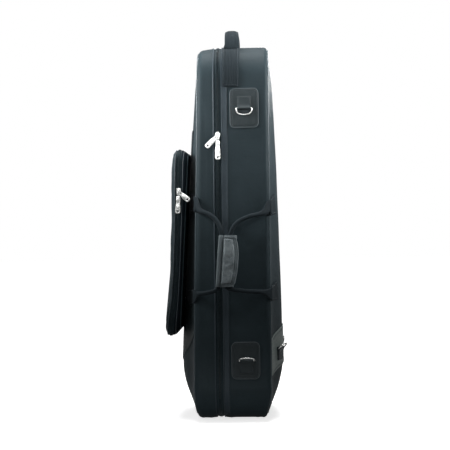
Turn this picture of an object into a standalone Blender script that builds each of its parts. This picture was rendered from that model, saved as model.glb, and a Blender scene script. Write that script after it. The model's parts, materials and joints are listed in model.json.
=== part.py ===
"""A soft-sided zippered case for a tenor trombone, standing on its bell end.

Metres, +Z up. The handle side faces -Y, the lid and its music pouch face -X and the
back faces +X. The zipper lies in the plane x = 0 of the case frame, an empty that is
shifted so that the whole case is centred over the world's origin.
"""

import math

import bpy
import bmesh
from mathutils import Matrix, Vector
from mathutils.geometry import tessellate_polygon

# Clearance between touching pieces, and overrun of every cutter
GAP = 0.0003
OVERRUN = 0.02

# Length of a corner's diagonal against its side
DIAGONAL_SHARE = math.sqrt(2)

# Face outline of the case
FOOT_HEIGHT = 0.006
SHELL_HEIGHT = 0.940
HALF_WIDTH = 0.172
TOP_RADIUS = 0.098
CORNER_RADIUS = 0.075
ARCH_STEPS = 6
WALL_STEPS = 4
CORNER_STEPS = 5

# Depth of the two halves, from the zipper's plane to the piping
BASE_DEPTH = 0.126
LID_DEPTH_LOW = 0.063
LID_DEPTH_HIGH = 0.050

# Swell of the padded faces
BASE_CROWN = 0.032
LID_CROWN = 0.038
TOP_CROWN = 0.012
CROWN_REACH = 0.130
CROWN_POWER_SHARE = 0.75
DOME_RING_SHARES = (0.80, 0.56, 0.32, 0.12)

# Layers of the walls
COVER = 0.0015
CORE = 0.008
LINER = 0.0015
PARTING = 0.002
PIPING_RADIUS = 0.0022
PIPING_SIDES = 6

# Main zipper, its trim band and the fabric hinge
TAPE_WIDTH = 0.009
TAPE_THICK = 0.0012
COIL_WIDTH = 0.003
COIL_HEIGHT = 0.0010
TRIM_WIDTH = 0.015
TRIM_THICK = 0.0010
HINGE_WIDTH = 0.022
HINGE_THICK = 0.0014
HINGE_LIFT = 0.0034
HINGE_LOW = 0.150
HINGE_DROP = 0.146

# Zipper sliders and their pulls
SLIDER_WIDTH = 0.011
SLIDER_LENGTH = 0.019
SLIDER_THICK = 0.0028
SLIDER_CORNER = 0.00275
BRIDGE_WIDTH = 0.0030
BRIDGE_LENGTH = 0.0095
BRIDGE_HEIGHT = 0.0042
BRIDGE_WALL = 0.0011
PULL_WIDTH = 0.0135
MAIN_PULL_LENGTH = 0.042
POCKET_PULL_LENGTH = 0.036
PULL_THICK = 0.0014
PULL_WINDOW = 0.0085
PULL_HOLE_RADIUS = 0.0024
PULL_RAIL = 0.0014
PULL_END_SHARE = 0.8
SLIDER_MEET = 0.7015
UPPER_PULL_TURN = math.radians(-45)

# Top handle
STRAP_WIDTH = 0.042
STRAP_THICK = 0.0046
STRAP_MIDDLE = 0.0335
STRAP_TAIL_DROP = 0.013
LOOP_RISE = 0.041
LOOP_STEPS = 8

# Leather ring patches, loops and rings on the handle side
PATCH_WIDTH = 0.072
PATCH_LENGTH = 0.102
PATCH_THICK = 0.0022
PATCH_RADIUS = 0.010
PATCH_CORNER_STEPS = 3
UPPER_PATCH_DROP = 0.1655
LOWER_PATCH_MIDDLE = 0.1520
PATCH_ACROSS = 0.067
UPPER_RING_DROP = 0.1665
LOWER_RING_UP = 0.1520
RING_WIRE = 0.00175
RING_WIDTH = 0.040
RING_DROP = 0.016
RING_SIDES = 6
RING_STEPS = 8
RING_MITRE_SHARE = 0.5
LOOP_WIDTH = 0.034
LOOP_THICK = 0.0014
LOOP_TAIL = 0.030
LOOP_TURN_STEPS = 8
LOOP_SHOULDER = math.radians(50)
LOWER_RING_LIFT = math.radians(66)

# Back panel band and its strap rings
BAND_LOW = 0.113
BAND_HIGH = 0.212
BAND_THICK = 0.0020
BAND_INSET = 0.0075
BACK_RING_UP = 0.176
BACK_RING_ACROSS = 0.088
BACK_TAB_THICK = 0.0010
NEAR_RING_LIFT = math.radians(45)
FAR_RING_LIFT = math.radians(12)

# Carry handles: two webs, each with its half of the leather grip
WEB_ROLL = 0.0055
WEB_FLAT_HALF = 0.025
WEB_LOW_FLAT_HALF = 0.018
WEB_THIN_HALF = 0.0013
WEB_SIDES = 8
WEB_STEPS = 2
LID_ROOT_HIGH = 0.541
LID_ROOT_LOW = 0.312
BASE_ROOT_HIGH = 0.530
BASE_ROOT_LOW = 0.316
GRIP_HIGH = 0.461
GRIP_LOW = 0.339
GRIP_STANDOFF = 0.034
GRIP_LEAN = 0.0093
GRIP_LEFT = -0.0070
LID_GRIP_HALF = 0.0063
BASE_GRIP_HALF = 0.0156
GRIP_HALF_THICK = 0.0135
GRIP_WALL = 0.0026
GRIP_SEAM = 0.0008
GRIP_SIDES = 12
GRIP_SQUARE_SHARE = 0.75
ROUTE_SHARES = (
    (0.00, 0.00, 0.00),
    (0.20, 0.22, 0.36),
    (0.52, 0.34, 0.68),
    (0.80, 0.52, 0.88),
    (0.95, 0.76, 0.98),
    (1.00, 1.00, 1.00),
)
FLAT_SHARES = (1.00, 0.50, 0.08, 0.00, 0.00, 0.00)
GRIP_SHARES = (0.00, 0.00, 0.00, 0.00, 0.30, 1.00)
ANCHOR_REACH = 0.062
ANCHOR_INSET = 0.0045
ANCHOR_THICK = 0.0024

# Feet
FOOT_RADIUS = 0.011
FOOT_ACROSS = 0.080
LID_FOOT = 0.033
BASE_FOOT = 0.091
STUD_RADIUS = 0.0055
STUD_GROOVE = 0.0012
FOOT_SIDES = 12

# Music pouch on the lid
POCKET_TOP = 0.680
POCKET_BOTTOM = 0.212
POCKET_TOP_HALF = 0.100
POCKET_BOTTOM_HALF = 0.135
POCKET_TOP_RADIUS = 0.036
POCKET_BOTTOM_RADIUS = 0.044
POCKET_CORNER_STEPS = 4
POCKET_STANDOFF = 0.002
POCKET_REAR_DEPTH = 0.0165
POCKET_FRONT_DEPTH = 0.0055
POCKET_ZIP_HALF = 0.003
POCKET_WALL = 0.0025
POCKET_CROWN = 0.010
POCKET_CROWN_REACH = 0.060
POCKET_PIPING = 0.0017
POCKET_RING_SHARES = (0.86, 0.62, 0.34)
POCKET_TAB_ACROSS = 0.018
POCKET_TAB_WIDTH = 0.030
POCKET_TAB_LENGTH = 0.050
POCKET_TAB_THICK = 0.0022
POCKET_SLIDER_MEET = 0.561
POCKET_PULL_TURN = math.radians(52)

# Inside: rests, straps, accessory box
BELL_X = 0.031
BELL_Y = -0.046
THROAT_REST_LOW = 0.330
THROAT_REST_LENGTH = 0.040
THROAT_RADIUS = 0.038
NECK_REST_LOW = 0.600
NECK_REST_LENGTH = 0.036
NECK_RADIUS = 0.015
REST_LIP = 0.012
REST_HALF_WIDTH = 0.070
NECK_HALF_WIDTH = 0.045
GROOVE_STEPS = 8
SLIDE_X = -0.026
SLIDE_FROM_WALL = 0.022
SLIDE_SPACING = 0.082
SLIDE_RADIUS = 0.0085
SLIDE_REST_LOWS = (0.190, 0.600)
SLIDE_REST_LENGTH = 0.034
SLIDE_REST_MARGIN = 0.016
SLIDE_REST_FACE = -0.016
BOX_LOW = 0.066
BOX_HIGH = 0.184
BOX_HALF_WIDTH = 0.038
BOX_ACROSS = 0.106
BOX_FACE = 0.030
BOX_WALL = 0.003
BOX_DEPTH = 0.072
BOX_LID_THICK = 0.003

# Places worked out from the sizes above
SHELL_TOP = FOOT_HEIGHT + SHELL_HEIGHT
ARCH_CENTRE = SHELL_TOP - TOP_RADIUS
CORNER_CENTRE = FOOT_HEIGHT + CORNER_RADIUS
CORNER_ACROSS = HALF_WIDTH - CORNER_RADIUS
RISE = ARCH_CENTRE - CORNER_CENTRE
LEAN = math.atan2(CORNER_ACROSS, RISE)
LEAN += math.asin((CORNER_RADIUS - TOP_RADIUS) / math.hypot(CORNER_ACROSS, RISE))
WALL_FOOT = (ARCH_CENTRE * math.sin(LEAN) + TOP_RADIUS) / math.cos(LEAN)
CORE_INSET = COVER + GAP
INNER_INSET = CORE_INSET + CORE
LINER_INSET = INNER_INSET + GAP
ROOM_INSET = LINER_INSET + LINER + GAP
HINGE_HIGH = SHELL_TOP - HINGE_DROP
STRAP_TAIL = ARCH_CENTRE - STRAP_TAIL_DROP
UPPER_PATCH_MIDDLE = SHELL_TOP - UPPER_PATCH_DROP
UPPER_RING_UP = SHELL_TOP - UPPER_RING_DROP
POCKET_DEPTH = POCKET_REAR_DEPTH + 2 * POCKET_ZIP_HALF + POCKET_FRONT_DEPTH
LOOP_OUTER = RING_WIRE + GAP + LOOP_THICK

COLOURS = {
    "nylon": ((0.020, 0.024, 0.028, 1), 0.75, 0.0),
    "trim": ((0.035, 0.041, 0.045, 1), 0.60, 0.0),
    "webbing": ((0.015, 0.018, 0.021, 1), 0.70, 0.0),
    "leather": ((0.042, 0.050, 0.054, 1), 0.42, 0.0),
    "metal": ((0.80, 0.81, 0.82, 1), 0.20, 1.0),
    "core": ((0.10, 0.10, 0.105, 1), 0.85, 0.0),
    "plush": ((0.030, 0.032, 0.036, 1), 0.95, 0.0),
    "zipper": ((0.012, 0.013, 0.015, 1), 0.55, 0.0),
}


def material(name, kind):
    """A Principled material of its own for one sub-part."""
    colour, roughness, metallic = COLOURS[kind]
    made = bpy.data.materials.new(name)
    made.use_nodes = True
    shader = made.node_tree.nodes["Principled BSDF"]
    shader.inputs["Base Color"].default_value = colour
    shader.inputs["Roughness"].default_value = roughness
    shader.inputs["Metallic"].default_value = metallic
    return made


def empty(name, parent=None, place=(0, 0, 0), columns=None):
    """An empty at a place in its parent, with its axes along three directions."""
    made = bpy.data.objects.new(name, None)
    bpy.context.collection.objects.link(made)
    made.parent = parent
    turn = Matrix.Identity(3)
    if columns:
        turn = Matrix(columns).transposed()
    made.location = Vector(place)
    made.rotation_euler = turn.to_euler()
    return made


def solid(name, bm, kind, parent, smooth=math.radians(40)):
    """A named object from a bmesh, with its faces pointing out."""
    bmesh.ops.recalc_face_normals(bm, faces=bm.faces)
    mesh = bpy.data.meshes.new(name)
    bm.to_mesh(mesh)
    bm.free()
    mesh.shade_smooth()
    mesh.set_sharp_from_angle(angle=smooth)
    made = bpy.data.objects.new(name, mesh)
    bpy.context.collection.objects.link(made)
    made.parent = parent
    mesh.materials.append(material(name, kind))
    return made


def cutter(name, bm, parent):
    """A guide body that other pieces are cut with."""
    made = solid(name, bm, "core", parent)
    made.hide_render = True
    made.display_type = "WIRE"
    return made


def cut(piece, tool, operation):
    """A Boolean left on the piece."""
    modifier = piece.modifiers.new(operation.lower(), "BOOLEAN")
    modifier.operation = operation
    modifier.object = tool
    return piece


def across_size(row):
    return max(vert.co.y for vert in row) - min(vert.co.y for vert in row)


def add_loops(bm, loops):
    """Vertices of each loop and the faces between neighbours, split alike in every layer."""
    rows = [[bm.verts.new(point) for point in loop] for loop in loops]
    count = len(loops[0])
    for row, after in zip(rows, rows[1:]):
        growth = across_size(after) - across_size(row)
        for index in range(count):
            turn = (index + 1) % count
            corners = (row[index], row[turn], after[turn], after[index])
            if abs(growth) < GAP:
                bm.faces.new(corners)
            elif growth < 0:
                bm.faces.new((corners[0], corners[1], corners[2]))
                bm.faces.new((corners[0], corners[2], corners[3]))
            else:
                bm.faces.new((corners[1], corners[2], corners[3]))
                bm.faces.new((corners[1], corners[3], corners[0]))
    return rows


def close_across(bm, row):
    """Rungs across a mirrored loop, between its two sides, from its apex or its flat top."""
    count = len(row)
    flat = 0 if abs(row[0].co.y) < GAP else 1
    for index in range((count - flat) // 2):
        far = count - index - flat
        corners = (row[index], row[index + 1], row[far - 1], row[far % count])
        if corners[1] is not corners[2]:
            bm.faces.new(corners[:3])
        if corners[0] is not corners[3]:
            bm.faces.new((corners[0], corners[2], corners[3]))


def stack(loops):
    """A closed body from mirrored loops, its two ends closed by rungs."""
    bm = bmesh.new()
    rows = add_loops(bm, loops)
    close_across(bm, rows[0])
    close_across(bm, rows[-1])
    return bm


def hoop(loops):
    """A closed ring from loops, the last joined to the first."""
    bm = bmesh.new()
    rows = add_loops(bm, loops)
    count = len(rows[0])
    for index in range(count):
        turn = (index + 1) % count
        bm.faces.new((rows[-1][index], rows[-1][turn], rows[0][turn], rows[0][index]))
    return bm


def bar(sections):
    """A closed body from cross-sections along a route, its ends filled."""
    bm = bmesh.new()
    rows = add_loops(bm, sections)
    bm.faces.new(rows[0])
    bm.faces.new(rows[-1])
    return bm


def prism(outer, holes, low, high):
    """A plate with holes: outlines in the plane, extruded from low to high."""
    bm = bmesh.new()
    outlines = [outer, *holes]
    flat = [[Vector((a, b, 0)) for a, b in outline] for outline in outlines]
    triangles = tessellate_polygon(flat)
    levels = []
    for level in (low, high):
        levels.append([[bm.verts.new((a, b, level)) for a, b in line] for line in outlines])
    for level in levels:
        points = [vert for line in level for vert in line]
        for triangle in triangles:
            bm.faces.new([points[index] for index in triangle])
    for below, above in zip(*levels):
        count = len(below)
        for index in range(count):
            turn = (index + 1) % count
            bm.faces.new((below[index], below[turn], above[turn], above[index]))
    return bm


def moved(bm, matrix):
    """The same body, placed by a matrix."""
    bmesh.ops.transform(bm, matrix=matrix, verts=bm.verts)
    return bm


def along_x(bm):
    """Turn a plate drawn in (Y, Z) so that its thickness runs along X."""
    turn = Matrix(((0, 0, 1, 0), (1, 0, 0, 0), (0, 1, 0, 0), (0, 0, 0, 1)))
    return moved(bm, turn)


def rectangle(left, right, bottom, top):
    return [(left, bottom), (right, bottom), (right, top), (left, top)]


def arc(centre, radius, start, end, steps):
    """Points on an arc, angles counted from the first axis."""
    points = []
    for step in range(steps + 1):
        angle = start + (end - start) * step / steps
        points.append((centre[0] + radius * math.cos(angle), centre[1] + radius * math.sin(angle)))
    return points


def rounded(corners, steps):
    """A convex outline with each corner (across, up, radius) rounded."""
    points = []
    for index, (across, up, radius) in enumerate(corners):
        here = Vector((across, up))
        before = (Vector(corners[index - 1][:2]) - here).normalized()
        after = (Vector(corners[(index + 1) % len(corners)][:2]) - here).normalized()
        half = before.angle(after) / 2
        centre = here + (before + after).normalized() * (radius / math.sin(half))
        first = here + before * (radius / math.tan(half)) - centre
        last = here + after * (radius / math.tan(half)) - centre
        start = math.atan2(first.y, first.x)
        sweep = first.angle_signed(last)
        for step in range(steps + 1):
            angle = start - sweep * step / steps
            points.append((centre.x + radius * math.cos(angle), centre.y + radius * math.sin(angle)))
    return points


def rounded_plate(width, length, radius, middle=(0, 0)):
    """A rectangle about a middle, its corners rounded."""
    across, up = middle
    left, right = across - width / 2, across + width / 2
    low, high = up - length / 2, up + length / 2
    corners = ((left, low, radius), (right, low, radius), (right, high, radius), (left, high, radius))
    return rounded(corners, PATCH_CORNER_STEPS)


# Face outline of the case

def outline(outset):
    """The face outline as (across, up), mirrored, from the top middle down the handle side."""
    arch = arc((0, ARCH_CENTRE), TOP_RADIUS + outset, math.pi / 2, math.pi - LEAN, ARCH_STEPS)
    low = (-CORNER_ACROSS, CORNER_CENTRE)
    corner = arc(low, CORNER_RADIUS + outset, math.pi - LEAN, 3 * math.pi / 2, CORNER_STEPS)
    wall = []
    for step in range(1, WALL_STEPS):
        start, end = Vector(arch[-1]), Vector(corner[0])
        wall.append(tuple(start.lerp(end, step / WALL_STEPS)))
    half = arch + wall + corner
    return half + [(-across, up) for across, up in reversed(half[1:])]


def toward_spine(points, share):
    """The outline drawn in towards the line between the two end centres."""
    low, high = CORNER_CENTRE + CORNER_RADIUS, ARCH_CENTRE
    drawn = []
    for across, up in points:
        spine = min(max(up, low), high)
        drawn.append((across * share, spine + (up - spine) * share))
    return drawn


EDGE = [Vector(point) for point in outline(0)]


def from_edge(across, up):
    """Distance from a point of the face to its outline."""
    here = Vector((across, up))
    least = HALF_WIDTH
    for start, end in zip(EDGE, EDGE[1:] + EDGE[:1]):
        run = end - start
        share = min(max((here - start).dot(run) / run.length_squared, 0), 1)
        least = min(least, (here - start - run * share).length)
    return least


def wall_side(up, outset=0):
    """Distance of the leaning side walls from the middle at a height."""
    return WALL_FOOT - up * math.tan(LEAN) + outset / math.cos(LEAN)


class Half:
    """One half of the case: which side of the zipper it is on, and its face."""

    def __init__(self, name, side, depth_low, depth_high, crown):
        self.name, self.side = name, side
        self.depth_low, self.depth_high, self.crown = depth_low, depth_high, crown

    def depth(self, up):
        share = (up - CORNER_CENTRE) / (ARCH_CENTRE - CORNER_CENTRE)
        return self.depth_low + (self.depth_high - self.depth_low) * min(max(share, 0), 1)

    def face(self, across, up, lift=0):
        """How far the padded face stands from the zipper's plane, signed."""
        fall = min(max((ARCH_CENTRE - up) / (ARCH_CENTRE - 2 * CORNER_CENTRE), 0), 1)
        height = TOP_CROWN + (self.crown - TOP_CROWN) * fall ** CROWN_POWER_SHARE
        share = min(from_edge(across, up) / CROWN_REACH, 1)
        swell = height * share * share * (3 - 2 * share)
        return self.side * (self.depth(up) + swell + lift)

    def face_loop(self, points, lift):
        return [(self.face(across, up, lift), across, up) for across, up in points]

    def dome(self, inset, lift):
        """Loops of the padded face from its edge inwards."""
        loops = [self.edge_loop(inset, lift)]
        for share in DOME_RING_SHARES:
            loops.append(self.face_loop(toward_spine(outline(0), share), lift))
        return loops

    def edge_loop(self, inset, lift):
        """The edge of the face, without its swell."""
        points = outline(-inset)
        return [(self.side * (self.depth(up) + lift), across, up) for across, up in points]

    def flat_loop(self, inset, distance):
        return [(self.side * distance, across, up) for across, up in outline(-inset)]


BASE = Half("base", 1, BASE_DEPTH, BASE_DEPTH, BASE_CROWN)
LID = Half("lid", -1, LID_DEPTH_LOW, LID_DEPTH_HIGH, LID_CROWN)


def case_place():
    """Where the case frame stands, so that its widest points are even about the origin."""
    front = LID.face(0, POCKET_BOTTOM) - POCKET_STANDOFF - POCKET_DEPTH
    ring = RING_DROP * math.sin(NEAR_RING_LIFT) + RING_WIRE
    back = BASE.face(BACK_RING_ACROSS, BACK_RING_UP) + BAND_THICK + LOOP_OUTER + BACK_TAB_THICK + ring
    near = -wall_side(GRIP_LOW) - GRIP_STANDOFF - GRIP_HALF_THICK
    far = wall_side(CORNER_CENTRE)
    return -(front + back) / 2, -(near + far) / 2, 0


# Shells of the two halves

def make_core(half, parent):
    """The moulded foam shell, an open tray."""
    outer = half.dome(CORE_INSET, -CORE_INSET)
    inner = half.dome(INNER_INSET, -INNER_INSET)
    rim = [half.flat_loop(CORE_INSET, PARTING), half.flat_loop(INNER_INSET, PARTING)]
    solid(half.name + "_core", stack(outer[::-1] + rim + inner), "core", parent)


def make_liner(half, parent):
    """The plush lining, a thin tray inside the core."""
    outer = half.dome(LINER_INSET, -LINER_INSET)
    inner = half.dome(LINER_INSET + LINER, -LINER_INSET - LINER)
    rim = [half.flat_loop(LINER_INSET, PARTING), half.flat_loop(LINER_INSET + LINER, PARTING)]
    solid(half.name + "_liner", stack(outer[::-1] + rim + inner), "plush", parent)


def make_panel(half, name, parent):
    """The padded fabric face, set inside the piping."""
    edge = PIPING_RADIUS + GAP
    outer = half.dome(edge, 0)
    inner = half.dome(edge, -COVER)
    solid(name, stack(outer[::-1] + inner), "nylon", parent)


def make_gusset_cover(half, name, parent):
    """The fabric band round the side walls."""
    edge = PIPING_RADIUS + GAP
    start = TAPE_WIDTH + GAP
    loops = [
        half.flat_loop(0, start),
        half.edge_loop(0, -edge),
        half.edge_loop(COVER, -edge),
        half.flat_loop(COVER, start),
    ]
    solid(name, hoop(loops), "nylon", parent)


def make_piping(half, name, parent):
    """The corded seam between gusset and face."""
    loops = []
    for x, outset in arc((0, 0), PIPING_RADIUS, 0, 2 * math.pi, PIPING_SIDES)[:-1]:
        loops.append(half.edge_loop(-outset, x))
    solid(name, hoop(loops), "trim", parent)


def make_tape(half, parent):
    """Half of the main zipper: its tape with a raised row of teeth."""
    top, bottom = GAP, GAP + TAPE_THICK
    near = GAP / 2
    profile = (
        (near, top - COIL_HEIGHT),
        (COIL_WIDTH, top - COIL_HEIGHT),
        (COIL_WIDTH, top),
        (TAPE_WIDTH, top),
        (TAPE_WIDTH, bottom),
        (near, bottom),
    )
    loops = [half.flat_loop(inset, distance) for distance, inset in profile]
    solid(half.name + "_zipper_tape", hoop(loops), "zipper", parent)


def make_trim(half, parent):
    """The lighter band sewn beside the zipper."""
    start, end = TAPE_WIDTH + GAP, TAPE_WIDTH + GAP + TRIM_WIDTH
    lift = GAP + TRIM_THICK
    loops = [
        half.flat_loop(-lift, start),
        half.flat_loop(-lift, end),
        half.flat_loop(-GAP, end),
        half.flat_loop(-GAP, start),
    ]
    solid(half.name + "_trim_band", hoop(loops), "trim", parent)


def make_hinge_tape(half, parent):
    """Half of the fabric hinge, down the far wall beside the fold."""
    profile = rectangle(GAP / 2, HINGE_WIDTH, HINGE_LIFT - HINGE_THICK, HINGE_LIFT)
    sections = []
    for up in (HINGE_LOW, HINGE_HIGH):
        sections.append([(half.side * distance, wall_side(up, lift), up) for distance, lift in profile])
    solid(half.name + "_hinge_tape", bar(sections), "webbing", parent)


def face_block(half, name, kind, parent, outer, thickness, lift=GAP):
    """A layer of even thickness on a padded face, within an outline."""
    reach = half.side * (half.depth_low + half.crown + OVERRUN)
    piece = solid(name, along_x(prism(outer, [], half.side * PARTING, reach)), kind, parent)
    over = lift + thickness
    cut(piece, face_tool(half, over), "INTERSECT")
    cut(piece, face_tool(half, lift), "DIFFERENCE")
    return piece


FACE_TOOLS = {}


def face_tool(half, lift):
    """The body under a padded face, lifted by a distance, as a cutting guide."""
    key = (half.name, round(lift / GAP, 3))
    if key not in FACE_TOOLS:
        loops = half.dome(0, lift)
        bm = stack(loops[::-1] + [half.flat_loop(0, 0)])
        name = "guide_" + half.name + "_" + str(len(FACE_TOOLS))
        FACE_TOOLS[key] = cutter(name, bm, FRAMES[half.name])
    return FACE_TOOLS[key]


def room_tool(half):
    """The clear space inside a half, as a cutting guide."""
    key = (half.name, "room")
    if key not in FACE_TOOLS:
        loops = half.dome(ROOM_INSET, -ROOM_INSET)
        bm = stack(loops[::-1] + [half.flat_loop(ROOM_INSET, 0)])
        FACE_TOOLS[key] = cutter("guide_" + half.name + "_room", bm, FRAMES[half.name])
    return FACE_TOOLS[key]


# Frames that the pieces hang on

def wall_columns(lean):
    """Across, up and outward directions of a side wall that faces -Y."""
    up = Vector((0, math.sin(lean), math.cos(lean)))
    across = Vector((1, 0, 0))
    return across, up, across.cross(up)


def up_wall(height):
    """A height above the floor as a distance up the leaning wall."""
    return height / math.cos(LEAN)


FRAMES = {}


def make_frames():
    """The case, its lid on the fabric hinge, and the handle-side wall."""
    case = empty("case", place=case_place())
    FRAMES["base"] = case
    axis_foot = wall_side(0, HINGE_LIFT)
    down = Vector((0, math.sin(LEAN), -math.cos(LEAN)))
    across = Vector((1, 0, 0))
    hinge = empty("lid_axis", case, (0, axis_foot, 0), (across, down.cross(across), down))
    turn = hinge.rotation_euler.to_matrix().to_4x4()
    back = empty("lid", hinge)
    back.matrix_parent_inverse = (Matrix.Translation(hinge.location) @ turn).inverted()
    FRAMES["lid"] = back
    FRAMES["wall"] = empty("handle_wall", case, (0, -WALL_FOOT, 0), wall_columns(LEAN))


# Zipper sliders

def make_slider(name, frame):
    """A slider: a broad plate with a narrow hook on it."""
    top = SLIDER_THICK
    bridge, peak = BRIDGE_LENGTH / 2, SLIDER_THICK + BRIDGE_HEIGHT
    plate = prism(rounded_plate(SLIDER_WIDTH, SLIDER_LENGTH, SLIDER_CORNER), [], 0, top)
    body = solid(name, plate, "metal", frame)
    hook = [
        (bridge, top / 2),
        (bridge, peak),
        (-bridge, peak),
        (-bridge, top + BRIDGE_WALL),
        (BRIDGE_WALL - bridge, top + BRIDGE_WALL),
        (BRIDGE_WALL - bridge, peak - BRIDGE_WALL),
        (bridge - BRIDGE_WALL, peak - BRIDGE_WALL),
        (bridge - BRIDGE_WALL, top / 2),
    ]
    arch = along_x(prism(hook, [], -BRIDGE_WIDTH / 2, BRIDGE_WIDTH / 2))
    tool = cutter("guide_" + name, arch, frame)
    return cut(body, tool, "UNION")


def make_pull(name, frame, length):
    """A pull tab that hangs from the slider's hook, its rail on the frame's first axis."""
    end = PULL_RAIL / 2
    half = PULL_WIDTH / 2
    corners = (
        (-half, end - length, half * PULL_END_SHARE),
        (half, end - length, half * PULL_END_SHARE),
        (half, end, end),
        (-half, end, end),
    )
    window = rectangle(-half + PULL_RAIL, half - PULL_RAIL, -end - PULL_WINDOW, -end)
    hole = arc((0, end - length + half), PULL_HOLE_RADIUS, 0, 2 * math.pi, GROOVE_STEPS)[:-1]
    bm = prism(rounded(corners, PATCH_CORNER_STEPS), [window, hole], -PULL_THICK / 2, PULL_THICK / 2)
    return solid(name, bm, "metal", frame)


def make_slider_pair(prefix, frame, meet, lift, turns, length):
    """Two sliders nose to nose, each with its pull."""
    for place, sense, turn in (("upper", 1, turns[0]), ("lower", -1, turns[1])):
        middle = meet + sense * (SLIDER_LENGTH / 2 + GAP)
        carrier = empty(prefix + place + "_slider_place", frame, (0, middle, lift))
        make_slider(prefix + place + "_slider", carrier)
        height = SLIDER_THICK + (BRIDGE_HEIGHT - BRIDGE_WALL) / 2
        axis = empty(prefix + place + "_pull_axis", carrier, (0, 0, height))
        axis.rotation_euler.z = turn
        make_pull(prefix + place + "_pull", axis, length)


# Rings and their loops

def ring_route(width, drop):
    """Middle line of a D ring: its bar on the axis and its bow below."""
    bow = arc((0, 0), 1, math.pi, 2 * math.pi, RING_STEPS)
    return [(across * width / 2, up * drop) for across, up in bow] + [(0, 0)]


def make_ring(name, frame):
    """A wire ring with its bar on the frame's first axis."""
    route = ring_route(RING_WIDTH, RING_DROP)
    count = len(route)
    sections = []
    for index, point in enumerate(route):
        here = Vector(point)
        before = (here - Vector(route[index - 1])).normalized()
        after = (Vector(route[(index + 1) % count]) - here).normalized()
        along = (before + after).normalized()
        side = Vector((along.y, -along.x))
        stretch = 1 / max(side.dot(Vector((before.y, -before.x))), RING_MITRE_SHARE)
        section = []
        for step in range(RING_SIDES):
            angle = 2 * math.pi * (step + 0.5) / RING_SIDES
            reach = RING_WIRE * math.cos(angle) * stretch
            section.append((here.x + side.x * reach, here.y + side.y * reach, RING_WIRE * math.sin(angle)))
        sections.append(section)
    return solid(name, hoop(sections), "metal", frame)


def make_loop(name, frame, foot):
    """A leather loop folded round a ring's bar, its tail lying beyond it."""
    outer = LOOP_OUTER
    tunnel = (RING_WIRE + GAP) / math.cos(math.pi / LOOP_TURN_STEPS)
    layers = 2 * LOOP_THICK - outer
    profile = [
        *arc((0, 0), outer, LOOP_SHOULDER, math.pi, LOOP_TURN_STEPS // 2),
        (-outer, -foot),
        (LOOP_TAIL, -foot),
        (LOOP_TAIL, layers),
        (outer + LOOP_THICK, layers),
    ]
    hole = arc((0, 0), tunnel, 0, 2 * math.pi, LOOP_TURN_STEPS)[:-1]
    bm = along_x(prism(profile, [hole], -LOOP_WIDTH / 2, LOOP_WIDTH / 2))
    return solid(name, bm, "leather", frame)


def ring_seat(name, parent, place, columns, upturned):
    """Where a ring's bar lies. An upturned seat has its loop below the ring."""
    across, up, out = columns
    if upturned:
        across, up = -across, -up
    return empty(name, parent, place, (across, up, out))


def make_wall_ring(prefix, patch_up, ring_up, upturned, lift):
    """A leather patch on the handle side, its loop and its ring."""
    wall = FRAMES["wall"]
    plate = rounded_plate(PATCH_WIDTH, PATCH_LENGTH, PATCH_RADIUS, (PATCH_ACROSS, up_wall(patch_up)))
    solid(prefix + "_ring_patch", prism(plate, [], GAP, GAP + PATCH_THICK), "leather", wall)
    height = 2 * GAP + PATCH_THICK + LOOP_OUTER
    columns = [Vector(column) for column in Matrix.Identity(3)]
    place = (PATCH_ACROSS, up_wall(ring_up), height)
    seat = ring_seat(prefix + "_ring_seat", wall, place, columns, upturned)
    make_loop(prefix + "_ring_loop", seat, LOOP_OUTER)
    axis = empty(prefix + "_ring_axis", seat)
    axis.rotation_euler.x = -lift
    make_ring(prefix + "_d_ring", axis)


def make_back_band():
    """The leather band across the back panel, and its two strap rings."""
    band = []
    for up, sides in ((BAND_LOW, (-1, 1)), (BAND_HIGH, (1, -1))):
        edge = wall_side(up) - BAND_INSET
        band += [(side * edge, up) for side in sides]
    face_block(BASE, "back_band", "leather", FRAMES["base"], band, BAND_THICK)
    over = 2 * GAP + BAND_THICK
    outer = LOOP_OUTER
    for place, side, lift in (("near", -1, NEAR_RING_LIFT), ("far", 1, FAR_RING_LIFT)):
        across = side * BACK_RING_ACROSS
        surface = BASE.face(across, BACK_RING_UP)
        slope = (BASE.face(across + side * PIPING_RADIUS, BACK_RING_UP) - surface) / PIPING_RADIUS
        turn = side * math.atan(-slope)
        out = Vector((math.cos(turn), math.sin(turn), 0))
        up = Vector((0, 0, 1))
        spot = Vector((surface, across, BACK_RING_UP)) + out * (over + outer + BACK_TAB_THICK)
        name = "back_" + place + "_ring"
        seat = ring_seat(name + "_seat", FRAMES["base"], spot, (up.cross(out), up, out), True)
        tab = make_loop("back_ring_tab_" + place, seat, outer + BACK_TAB_THICK + LOOP_TAIL)
        cut(tab, face_tool(BASE, over), "DIFFERENCE")
        axis = empty(name + "_axis", seat)
        axis.rotation_euler.x = -lift
        make_ring("back_d_ring_" + place, axis)


# Top handle

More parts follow.
